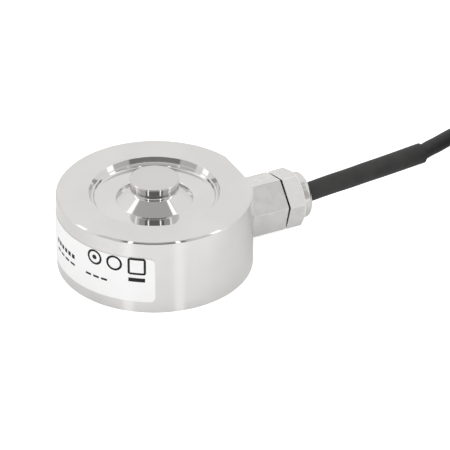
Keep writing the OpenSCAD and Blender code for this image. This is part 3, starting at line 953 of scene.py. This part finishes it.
class Graph:
    """The nodes of one material, or of the world."""

    def __init__(self, tree):
        self.tree = tree

    def node(self, kind, settings=None, inputs=None, output=0):
        """Adds a node: its settings first, then the values or wires of its sockets."""
        node = self.tree.nodes.new(kind)
        for name, value in (settings or {}).items():
            setattr(node, name, value)
        for name, value in (inputs or {}).items():
            self.feed(node.inputs[name], value)
        return Wire(self, node.outputs[output])

    def feed(self, socket, value):
        """Links a wire to the socket, or sets its value."""
        if isinstance(value, Wire):
            self.tree.links.new(value.socket, socket)
        else:
            socket.default_value = value

    def maths(self, operation, *values):
        """A Math node, for what has no operator of its own."""
        return self.node("ShaderNodeMath", {"operation": operation}, dict(enumerate(values)))

    def ramp(self, value, low, high, at_low=0, at_high=1):
        """A smooth step: at_low up to low, at_high from high on."""
        settings = {"interpolation_type": "SMOOTHSTEP"}
        values = {0: value, 1: low, 2: high, 3: at_low, 4: at_high}
        return self.node("ShaderNodeMapRange", settings, values)

    def mixed(self, share, first, second):
        """One colour turning into another."""
        settings = {"data_type": "RGBA", "clamp_factor": True}
        return self.node("ShaderNodeMix", settings, {0: share, 6: first, 7: second}, output=2)


# %% A finish
def grey(value):
    """A neutral colour."""
    return (value, value, value, 1)


class Finish(Graph):
    """A material, with the measures that its patterns are drawn with."""

    def __init__(self, name):
        self.material = bpy.data.materials.new(name)
        self.material.use_nodes = True
        super().__init__(self.material.node_tree)
        self.shader = self.tree.nodes["Principled BSDF"]
        self.place = self.node("ShaderNodeTexCoord", output="Object")

    def plain(self, values):
        """Numbers that are the same all over the surface, set on the shader's own sockets."""
        for name, value in values.items():
            self.shader.inputs[name].default_value = value

    def axes(self):
        """The point's X, Y and Z in millimetres."""
        large = self.node(
            "ShaderNodeVectorMath", {"operation": "SCALE"}, {0: self.place, "Scale": 1 / MM},
        )
        apart = self.node("ShaderNodeSeparateXYZ", inputs={0: large})
        outputs = apart.socket.node.outputs
        return [Wire(self, outputs[i]) for i in range(3)]

    def noise(self, size, detail=2.0, roughness=0.5, stretch=(1, 1, 1)):
        """Cloudy noise from 0 to 1, with blots of about the given size in millimetres."""
        scale = [1 / MM / size / s for s in stretch]
        mapped = self.node("ShaderNodeMapping", inputs={"Vector": self.place, "Scale": scale})
        values = {"Vector": mapped, "Scale": 1.0, "Detail": detail, "Roughness": roughness}
        return self.node("ShaderNodeTexNoise", inputs=values)

    def lines(self, along, size):
        """Noise that changes in one direction only, which gives fine parallel lines."""
        values = {"W": along / size, "Scale": 1.0, "Detail": 2.0, "Roughness": 0.6}
        return self.node("ShaderNodeTexNoise", {"noise_dimensions": "1D"}, values)

    def bump(self, height, strength, distance):
        """Small relief. The distance is the relief's depth in metres."""
        values = {"Height": height, "Strength": strength, "Distance": distance}
        normal = self.node("ShaderNodeBump", inputs=values)
        self.feed(self.shader.inputs["Normal"], normal)

    def colour(self, value):
        """Feeds the colour."""
        self.feed(self.shader.inputs["Base Color"], value)

    def roughness(self, value):
        """Feeds the roughness."""
        self.feed(self.shader.inputs["Roughness"], value)

# %% [markdown]
# ## Stainless steel, four ways
# One bar of steel shows four finishes here. The recess, the cone, the neck and the rim's
# chamfers were turned with a fine feed and polished, so they mirror the studio. The ring round
# the recess was faced with a coarser feed and is a little satin. The loading face is painted a
# shade darker, a painted shade, and the drum's side a shade lighter, a painted light. The drum's
# side keeps the marks of the tool, which run round it, so a highlight there is drawn out upwards
# and downwards: that is what the anisotropic value does.
# The marks are lines of noise that change along the section only, as a lathe leaves them on
# every face, and cloudy noise stands for handling.

# %% Steel
STEEL_DARK = (0.635, 0.627, 0.618, 1)
STEEL_LIGHT = (0.67, 0.662, 0.655, 1)
ACROSS_MARKS = 0.25


def lathe_steel(name, roughness, feed, depth, haze, anisotropy=0.0, painted_tone=1.0):
    """Turned steel: its mean roughness, the spacing and depth of its marks, how much they
    change the roughness, how far a highlight is drawn out, and how bright it is: a tone above 1
    paints light into its colour, and one below 1 paints shade."""
    finish = Finish(name)
    finish.plain({
        "Metallic": 1.0, "Anisotropic": anisotropy, "Anisotropic Rotation": ACROSS_MARKS,
    })
    x, y, z = finish.axes()
    section = (x * x + y * y) ** 0.5 - z
    marks = finish.lines(section, feed)
    clouds = finish.noise(16, detail=2)
    shades = [[part * painted_tone for part in steel[:3]] + [1] for steel in (STEEL_DARK, STEEL_LIGHT)]
    finish.colour(finish.mixed(finish.ramp(clouds, 0.3, 0.7), *shades))
    finish.roughness(roughness + (marks - 0.5) * haze + (clouds - 0.5) * haze * 0.5)
    finish.bump(marks, 1.0, depth)
    return finish.material


polished_steel = lathe_steel("polished_steel", 0.07, 0.12, 0.0002 * MM, 0.04, 0.3)
faced_steel = lathe_steel("faced_steel", 0.22, 0.16, 0.0006 * MM, 0.08, 0.6)
# The drum's side is painted a shade lighter, a painted light, and the loading face a shade darker, a
# painted shade.
turned_steel = lathe_steel("turned_steel", 0.3, 0.20, 0.0006 * MM, 0.06, 0.85, 1.02)
button_steel = lathe_steel("button_steel", 0.16, 0.12, 0.0003 * MM, 0.05, 0.3, 0.92)
print("steels:", polished_steel.name, faced_steel.name, turned_steel.name)

# %% Which face of the body has which finish
DOME_DROP = 0.6 * MM
CHAMFER_DROP = 0.48 * MM
INSIDE_RIM = RECESS_R + 0.05 * MM
NEARLY_UP = 0.9


def finish_of(face):
    """The number of a face's finish: 0 polished, 1 faced, 2 turned, 3 the loading face."""
    middle = face.center
    if middle.z > BUTTON_TOP - DOME_DROP:
        return 3
    if middle.z > FLOOR_Z - GROOVE and middle.xy.length < INSIDE_RIM:
        return 0
    if middle.z > RIM_Z - CHAMFER_DROP:
        return 1 if face.normal.z > NEARLY_UP else 0
    return 2


for material in (polished_steel, faced_steel, turned_steel, button_steel):
    body.data.materials.append(material)
for face in body.data.polygons:
    face.material_index = finish_of(face)

# %% [markdown]
# ## The gland's metal
# The gland is machined from nickel-plated brass or steel bar and tumbled, so it is a shade
# warmer and softer than the body, and its faces are slightly clouded. The grain runs along the
# bar on the hexagons. Its broken edges and the nut's flat that faces up and forwards are painted
# brighter, as painted highlights, and the collar is painted a little darker, as painted shade.
# Each of them is a material slot of its own.

# %% Gland metal
PLATE_DARK = (0.66, 0.652, 0.64, 1)
PLATE_LIGHT = (0.74, 0.733, 0.72, 1)
# Painted highlight: the broken edges are painted near white.
EDGE_HIGHLIGHT_DARK = (0.93, 0.925, 0.915, 1)
EDGE_HIGHLIGHT_LIGHT = (0.98, 0.975, 0.965, 1)
# Painted shade: the collar is painted darker than the plating.
COLLAR_SHADE_DARK = (0.58, 0.573, 0.563, 1)
COLLAR_SHADE_LIGHT = (0.68, 0.673, 0.661, 1)
# Painted highlight: the nut's flat that faces up and forwards is painted brighter.
FLAT_HIGHLIGHT_DARK = (0.8, 0.79, 0.775, 1)
FLAT_HIGHLIGHT_LIGHT = (0.93, 0.92, 0.905, 1)
PLATE_RELIEF = 0.02 * MM

gland_finish = Finish("gland_metal")
gland_finish.plain({"Metallic": 1.0})
clouds = gland_finish.noise(3.2, detail=4, roughness=0.65)
grain = gland_finish.noise(0.5, detail=3, stretch=(9, 1, 1))
gland_finish.colour(
    gland_finish.mixed(gland_finish.ramp(clouds, 0.25, 0.75), PLATE_DARK, PLATE_LIGHT),
)
gland_finish.roughness(0.2 + (clouds - 0.5) * 0.16 + (grain - 0.5) * 0.1)
gland_finish.bump(clouds + grain * 0.4, 0.7, PLATE_RELIEF)


def painted_plating(name, dark, light, mean_roughness, haze, relief=0, **clouding):
    """Plating painted lighter for painted highlights and darker for painted shade, with clouds
    in its tone and in its gloss.
    """
    finish = Finish(name)
    finish.plain({"Metallic": 1.0})
    clouds = finish.noise(**clouding)
    finish.colour(finish.mixed(clouds, dark, light))
    finish.roughness(mean_roughness + (clouds - 0.5) * haze)
    if relief:
        finish.bump(clouds, 0.7, relief)
    return finish.material


# The broken edges get a painted highlight.
painted_highlight_edge = painted_plating("gland_bright_edge", EDGE_HIGHLIGHT_DARK, EDGE_HIGHLIGHT_LIGHT, 0.3, 0.1, size=2, detail=3)
# The collar gets painted shade.
painted_shade_collar = painted_plating("gland_collar_painted_shade", COLLAR_SHADE_DARK, COLLAR_SHADE_LIGHT, 0.2, 0.08, size=3, detail=2)
# The nut's flat that faces up and forwards gets a painted highlight.
painted_highlight_flat = painted_plating("gland_bright_flat", FLAT_HIGHLIGHT_DARK, FLAT_HIGHLIGHT_LIGHT, 0.2, 0.16, PLATE_RELIEF,
                     size=3.2, detail=4, roughness=0.65)

# %% Which face of the gland has which finish
SMALLEST_FLAT = 20 * MM ** 2


def gland_part(face):
    """The number of a face's finish: 0 flats and bore, 1 broken edges with a painted highlight,
    2 the collar with painted shade, 3 the nut's flat that faces up and forwards, with a painted
    highlight."""
    middle = face.center
    if math.hypot(middle.y, middle.z - GLAND_Z) < COLLAR_R + 0.02 * MM:
        return 2 if middle.x > COLLAR_X + 0.05 * MM else 0
    if face.area < SMALLEST_FLAT:
        return 1
    up_and_forwards = face.normal.y < 0 and 0.1 < face.normal.z < 0.9
    return 3 if middle.x > NUT_X and up_and_forwards else 0


for piece in (gland, nut):
    for material in (gland_finish.material, painted_highlight_edge, painted_shade_collar, painted_highlight_flat):
        piece.data.materials.append(material)
    for face in piece.data.polygons:
        face.material_index = gland_part(face)

# %% [markdown]
# ## Plastics and rubber
# The jacket, the shrink sleeve, the ties and the cores are all coloured plastic. They differ in
# colour, in gloss and in how fine their skin is, so one function makes them all. The skin
# is fine noise in a very shallow bump, and wear shows as cloudy changes of roughness.

# %% Plastics
def plastic(name, dark, light, roughness, skin=0.15, depth=0.01 * MM, specular=0.5):
    """A plastic that wavers between two close colours, with a fine skin."""
    finish = Finish(name)
    finish.plain({"Specular IOR Level": specular})
    clouds = finish.noise(6, detail=3)
    pores = finish.noise(skin, detail=2)
    finish.colour(finish.mixed(finish.ramp(clouds, 0.3, 0.7), dark, light))
    finish.roughness(roughness + (clouds - 0.5) * 0.14)
    finish.bump(pores, 0.6, depth)
    return finish.material


JACKET_DARK = (0.03, 0.03, 0.031, 1)
JACKET_LIGHT = (0.037, 0.037, 0.038, 1)
SLEEVE_DARK = (0.032, 0.0318, 0.0314, 1)
SLEEVE_LIGHT = (0.042, 0.0416, 0.041, 1)
jacket = plastic("cable_jacket", JACKET_DARK, JACKET_LIGHT, 0.6, 0.3, specular=0.22)
sleeving = plastic("shrink_tube", SLEEVE_DARK, SLEEVE_LIGHT, 0.6, 0.5, specular=0.22)
tie_nylon = plastic("tie_nylon", (0.012, 0.012, 0.013, 1), (0.02, 0.02, 0.021, 1), 0.38)
rubber = plastic("gland_rubber", (0.012, 0.012, 0.012, 1), (0.025, 0.025, 0.025, 1), 0.75, 0.3, 0.03 * MM)
white_nylon = plastic("washer_nylon", (0.68, 0.66, 0.60, 1), (0.76, 0.74, 0.69, 1), 0.45)
CORE_COLOURS = {
    "red": ((0.42, 0.018, 0.015, 1), (0.5, 0.03, 0.022, 1)),
    "black": ((0.012, 0.012, 0.013, 1), (0.02, 0.02, 0.021, 1)),
    "green": ((0.012, 0.20, 0.07, 1), (0.02, 0.26, 0.09, 1)),
    "white": ((0.74, 0.73, 0.70, 1), (0.82, 0.81, 0.78, 1)),
}
core_finishes = {
    colour: plastic("core_" + colour + "_skin", dark, light, 0.4, 0.2)
    for colour, (dark, light) in CORE_COLOURS.items()
}
screen_sleeving = plastic("screen_sleeving", (0.62, 0.46, 0.03, 1), (0.70, 0.53, 0.05, 1), 0.4, 0.2)

# %% [markdown]
# ## Tinned and enamelled wire
# Solder on copper is bright but uneven, a metal with a cloudy sheen. Enamelled wire is copper
# under a clear brown lacquer, which is what the coat of the shader is for.

# %% Wire
tinned = Finish("tinned_copper")
tinned.plain({"Metallic": 1.0})
clouds = tinned.noise(0.8, detail=3)
tinned.colour(tinned.mixed(clouds, (0.55, 0.55, 0.54, 1), (0.78, 0.78, 0.76, 1)))
tinned.roughness(0.22 + clouds * 0.2)
tinned.bump(clouds, 0.5, 0.02 * MM)

enamelled = Finish("enamelled_copper")
enamelled.plain({"Metallic": 1.0, "Coat Weight": 0.8, "Coat Roughness": 0.15})
clouds = enamelled.noise(1.2, detail=3)
enamelled.colour(enamelled.mixed(clouds, (0.42, 0.13, 0.05, 1), (0.60, 0.22, 0.09, 1)))
enamelled.roughness(0.3 + clouds * 0.15)

# %% [markdown]
# ## What sits inside
# A strain gauge is a zigzag of foil on a film of amber plastic. Stripes along the gauge with a
# bare margin draw it, with two tabs at the inner end. The terminal board is green resin over
# a weave of glass, with a ring of solder pads, and a resistor is a black chip with tinned
# ends. Nobody sees them in use, but the part can be taken apart.

# %% The gauges
GAUGE_MIDDLE = (HUB_R + CAVITY_R) / 2
GAUGE_TURNS = (45, 135, 225, 315)
GRID_MIDDLE = 0.6
TAB_MIDDLE = -2.1
TAB_OFF = 1
TAB_HALF = 0.6
STRIPES_PER_MM = 2.5


def gauge_foil(number, turn_deg):
    """The finish of one gauge, drawn along its own direction."""
    finish = Finish("gauge_foil_" + number)
    turned_place = finish.node("ShaderNodeVectorRotate", {"rotation_type": "Z_AXIS"}, {
        "Vector": finish.place, "Angle": -math.radians(turn_deg),
    })
    finish.place = turned_place
    x, y, z = finish.axes()
    along = x - GAUGE_MIDDLE / MM
    in_length = finish.ramp(abs(along - GRID_MIDDLE), 1.7, 1.8, 1, 0)
    in_width = finish.ramp(abs(y), 1.3, 1.35, 1, 0)
    across = abs(finish.maths("WRAP", y * STRIPES_PER_MM, 0.5, -0.5))
    stripes = finish.ramp(across, 0.2, 0.26, 1, 0)
    tab_length = finish.ramp(abs(along - TAB_MIDDLE), TAB_HALF, TAB_HALF + 0.05, 1, 0)
    tab_width = finish.ramp(abs(abs(y) - TAB_OFF), TAB_HALF, TAB_HALF + 0.05, 1, 0)
    tabs = tab_length * tab_width
    foil = finish.maths("MINIMUM", in_length * in_width * stripes + tabs, 1)
    finish.colour(finish.mixed(foil, (0.55, 0.24, 0.04, 1), (0.62, 0.50, 0.36, 1)))
    finish.feed(finish.shader.inputs["Metallic"], foil)
    finish.roughness(0.35 - foil * 0.1)
    finish.bump(foil, 0.5, 0.01 * MM)
    return finish.material


# %% The board and the chips
WEAVES_PER_MM = 9
PAD_COUNT = 12
PAD_RING_R = 9.4
PAD_R = 0.75

board_finish = Finish("terminal_board_resin")
x, y, z = board_finish.axes()
reach = (x * x + y * y) ** 0.5
turn = board_finish.maths("ARCTAN2", y, x)
weave_x = board_finish.maths("SINE", x * WEAVES_PER_MM)
weave_y = board_finish.maths("SINE", y * WEAVES_PER_MM)
weave = board_finish.ramp(weave_x * weave_y, -1, 1)
pad_share = abs(board_finish.maths("WRAP", turn * (PAD_COUNT / math.pi), 1, -1))
pad_aside = pad_share * reach * (math.pi / PAD_COUNT)
pad_off = (pad_aside ** 2 + (reach - PAD_RING_R) ** 2) ** 0.5
on_top = board_finish.ramp(z, 7.9, 7.95)
pads = board_finish.ramp(pad_off, PAD_R, PAD_R + 0.05, 1, 0) * on_top
resin = board_finish.mixed(weave, (0.015, 0.12, 0.035, 1), (0.022, 0.16, 0.05, 1))
board_finish.colour(board_finish.mixed(pads, resin, (0.72, 0.71, 0.68, 1)))
board_finish.feed(board_finish.shader.inputs["Metallic"], pads)
board_finish.roughness(0.35 - pads * 0.1 + weave * 0.05)
board_finish.bump(weave * 0.3 + pads, 0.5, 0.02 * MM)
chip = plastic("resistor_chip", (0.014, 0.014, 0.015, 1), (0.03, 0.03, 0.032, 1), 0.35, 0.1)

# %% [markdown]
# ## The label and its print
# The film is white vinyl with a soft gloss, a shade off pure white and with a faint waviness
# from the glue under it. The ink is nearly black and slightly duller than the film.

# %% Film and ink
film_finish = Finish("label_film")
film_finish.plain({"Coat Weight": 0.15, "Coat Roughness": 0.3})
waves = film_finish.noise(5, detail=2)
film_finish.colour(film_finish.mixed(waves, (0.82, 0.82, 0.82, 1), (0.86, 0.86, 0.86, 1)))
film_finish.roughness(0.38 + (waves - 0.5) * 0.1)
film_finish.bump(waves, 0.3, 0.02 * MM)
label.data.materials.append(film_finish.material)
ink_finish = plastic("label_ink", (0.01, 0.01, 0.011, 1), (0.018, 0.018, 0.019, 1), 0.6, specular=0.2)
label_print.data.materials.append(ink_finish)

# %% [markdown]
# ## The base cover
# The cover under the drum is a thin disc of steel, faced on a lathe and left as it is, so
# it takes the drum's steel with coarser marks.

# %% The cover, and every piece with its finish
cover_steel = lathe_steel("cover_steel", 0.3, 0.3, 0.003 * MM, 0.12)


def wear(name, material):
    """Gives a piece of the frame its finish."""
    piece = bpy.data.objects[name]
    if not piece.material_slots:
        piece.data.materials.append(material)
    for slot in piece.material_slots:
        slot.material = material


for number, turn_deg in enumerate(GAUGE_TURNS, 1):
    wear("strain_gauge_" + str(number), gauge_foil(str(number), turn_deg))
    wear("gauge_wires_" + str(number), enamelled.material)
for number in range(1, 4):
    wear("bridge_resistor_" + str(number), chip)
for colour in CORE_COLOURS:
    wear("core_" + colour, core_finishes[colour])
wear("base_cover", cover_steel)
wear("terminal_board", board_finish.material)
wear("gland_gasket", rubber)
wear("cable_seal", rubber)
wear("slip_washer", white_nylon)
wear("cable_in_gland", jacket)
wear("drain_wire", tinned.material)

cable.data.materials.append(jacket)
sleeve.data.materials.append(sleeving)
for tie in ties:
    tie.data.materials.append(tie_nylon)
for colour, (lead, points) in leads.items():
    lead.data.materials.append(screen_sleeving if colour == "shield" else core_finishes[colour])
    tips[colour].data.materials.append(tinned.material)
print("finishes:", len(bpy.data.materials))

# %% [markdown]
# ## The studio
# Polished steel shows the room and little of its own, so the room is what gives the drum its
# tones. This one is a white tent, a little dimmer at the horizon. On the camera's side it has
# a dark opening with two grey walls beside it, and over those a band that is only a shade
# darker than the tent. Two narrow bright strips stand in the opening, each with a gap in it,
# and lean outwards as they rise. Beyond the walls stand two broad bright panels, the left one
# further back than the right one. The ceiling is grey overhead and on the camera's side. Necks
# and edges turned towards the camera mirror the opening and go dark, and strips and panels
# become the thin lights that show a surface is round. All of it is painted on the world by
# direction: the angle round the vertical from the camera, and the height above the horizon,
# both in degrees. The camera itself sees plain white.

# %% The tent's sizes, in degrees
HORIZON = (8, 26)
WALL_FOOT = 4
SIDE_TURN = 76
SIDE_TOP = 38
FLANK_TOP = 53
OPENING_TURN = 45
OPENING_TOP = 57
STRIP_TURNS = (25, 31)
STRIP_RISES = ((3, 19), (36, 60))
PANEL_TURNS = (76.5, 88.5)
PANEL_RISES = (4, 62)
PANEL_BACK = 13
PANEL_FORWARD = 1.5
LEAN_FROM = 32
LEAN = 0.3
CEILING_RISE = (52.5, 54.5)
CEILING_TURN = (100, 120)
ZENITH = (80, 85)

# %% The tent's light
TENT_LIGHT = 1.06
HORIZON_LIGHT = 0.96
OPENING_LIGHT = 0.24
SIDE_LIGHT = 0.62
FLANK_LIGHT = 0.8
STRIP_LIGHT = 2.4
PANEL_LIGHT = 1.7
CEILING_LIGHT = 0.53
WARM_WHITE = (1, 0.997, 0.99, 1)

world = bpy.data.worlds.new("studio")
world.use_nodes = True
tent = Graph(world.node_tree)
way = tent.node("ShaderNodeTexCoord", output="Generated")


def part_along(direction):
    """How far a ray's direction points the given way."""
    settings = {"operation": "DOT_PRODUCT"}
    return tent.node("ShaderNodeVectorMath", settings, {0: way, 1: direction}, output="Value")


def up_to(value, high, soft):
    """1 where the value lies below a limit, with a soft edge."""
    return tent.ramp(value, high - soft, high + soft, 1, 0)


def between(value, limits, soft):
    """1 where the value lies between two limits, with soft edges."""
    low, high = limits
    return tent.ramp(value, low - soft, low + soft) * up_to(value, high, soft)


def painted(light, mask, value):
    """The light with another one laid over it where the mask is 1."""
    return light + mask * (value - light)


in_degrees = 180 / math.pi
around = abs(tent.maths("ARCTAN2", part_along(right), part_along(level)) * in_degrees)
above = tent.maths("ARCSINE", part_along((0, 0, 1))) * in_degrees

light = tent.ramp(above, *HORIZON, HORIZON_LIGHT, TENT_LIGHT)
ceiling = tent.ramp(above, *CEILING_RISE) * tent.ramp(around, *CEILING_TURN, 1, 0)
ceiling = tent.maths("MAXIMUM", ceiling, tent.ramp(above, *ZENITH))
light = painted(light, ceiling, CEILING_LIGHT)
flank = up_to(around, SIDE_TURN, 2) * between(above, (SIDE_TOP, FLANK_TOP), 1.5)
light = painted(light, flank, FLANK_LIGHT)
side = up_to(around, SIDE_TURN, 2) * between(above, (WALL_FOOT, SIDE_TOP), 1)
light = painted(light, side, SIDE_LIGHT)
opening = up_to(around, OPENING_TURN, 2) * between(above, (WALL_FOOT, OPENING_TOP), 1)
light = painted(light, opening, OPENING_LIGHT)

lean = tent.maths("MAXIMUM", (above - LEAN_FROM) * LEAN, 0)
heights = between(above, STRIP_RISES[0], 1) + between(above, STRIP_RISES[1], 1)
strip = between(around - lean, STRIP_TURNS, 0.7) * heights
light = painted(light, strip, STRIP_LIGHT)
moved = tent.ramp(part_along(right), -0.1, 0.1, -PANEL_BACK, PANEL_FORWARD)
panel = between(around - lean + moved, PANEL_TURNS, 1.5) * between(above, PANEL_RISES, 1)
light = painted(light, panel, PANEL_LIGHT)

seen = tent.node("ShaderNodeLightPath", output="Is Camera Ray")
background = world.node_tree.nodes["Background"]
tent.feed(background.inputs["Strength"], painted(light, seen, 1))
background.inputs["Color"].default_value = WARM_WHITE
bpy.context.scene.world = world
bpy.context.scene.view_settings.view_transform = "Standard"

# %% [markdown]
# ## Lamps and floor
# Two large soft lamps bring the floor and the label to white. They are kept out of reflections,
# because the tent already lights the metal. The floor is a white sheet that glows evenly to the
# camera, so that the shadow under the drum stays as faint as on a light table. To the steel it
# glows unevenly: more towards the camera, most in two lanes that run out to the front left and
# the front right and give the drum its upright bands, and least under the gland.

# %% Lamps
def soft_lamp(name, place, size, power):
    """A square lamp that points at the part and shows in no reflection."""
    data = bpy.data.lights.new(name, "AREA")
    data.size = size
    data.energy = power
    lamp = bpy.data.objects.new(name, data)
    lamp.location = place
    lamp.rotation_euler = Vector(place).to_track_quat("Z", "Y").to_euler()
    lamp.visible_glossy = False
    lamp.visible_camera = False
    bpy.context.scene.collection.objects.link(lamp)
    return lamp


LAMP_SIZE = 1.2
KEY_POWER = 8
FILL_POWER = 4
soft_lamp("key", level * 0.9 - right * 0.5 + Vector((0, 0, 1.2)), LAMP_SIZE, KEY_POWER)
soft_lamp("fill", right * 1.1 + level * 0.3 + Vector((0, 0, 0.9)), LAMP_SIZE, FILL_POWER)

# %% The floor
FLOOR_SIZE = 3
GLOW = 0.39
GLOW_FRONT = 0.57
GLOW_LANE = 0.73
GLOW_SHADOW = 0.33
GLOW_SEEN = 0.8
LANE_TURN = math.radians(30)
LANE_SPREAD = 0.105
# Places on the floor, in millimetres
FRONT = (24, 36)
LANE_OFF = 7.8
LANE_FROM = 29
LANE_EDGE = (0.7, 2.2)
LANE_START = (20, 25)
SHADOW_X = 47
SHADOW_Y = -3
SHADOW_EDGE = (10, 27)

ground = bmesh.new()
bmesh.ops.create_grid(ground, x_segments=1, y_segments=1, size=FLOOR_SIZE)
floor = new_piece("floor", ground)
paper = Finish("floor_paper")
fibres = paper.noise(2, detail=3)
paper.colour(paper.mixed(fibres, grey(0.55), grey(0.57)))
paper.roughness(0.9 + fibres * 0.05)
paper.plain({"Specular IOR Level": 0.0, "Emission Strength": 1.0})
x, y, z = paper.axes()
forwards = x * level.x + y * level.y
sideways = abs(x * right.x + y * right.y)
along = forwards * math.cos(LANE_TURN) + sideways * math.sin(LANE_TURN)
aside = sideways * math.cos(LANE_TURN) - forwards * math.sin(LANE_TURN)
off_lane = abs(aside + LANE_OFF) - (along - LANE_FROM) * LANE_SPREAD
lane = paper.ramp(off_lane, *LANE_EDGE, 1, 0) * paper.ramp(along, *LANE_START)
glow = paper.mixed(paper.ramp(forwards, *FRONT), grey(GLOW), grey(GLOW_FRONT))
glow = paper.mixed(lane, glow, grey(GLOW_LANE))
from_shadow = ((x - SHADOW_X) ** 2 + (y - SHADOW_Y) ** 2) ** 0.5
glow = paper.mixed(paper.ramp(from_shadow, *SHADOW_EDGE, 1, 0), glow, grey(GLOW_SHADOW))
seen = paper.node("ShaderNodeLightPath", output="Is Camera Ray")
paper.feed(paper.shader.inputs["Emission Color"], paper.mixed(seen, glow, grey(GLOW_SEEN)))
floor.data.materials.append(paper.material)
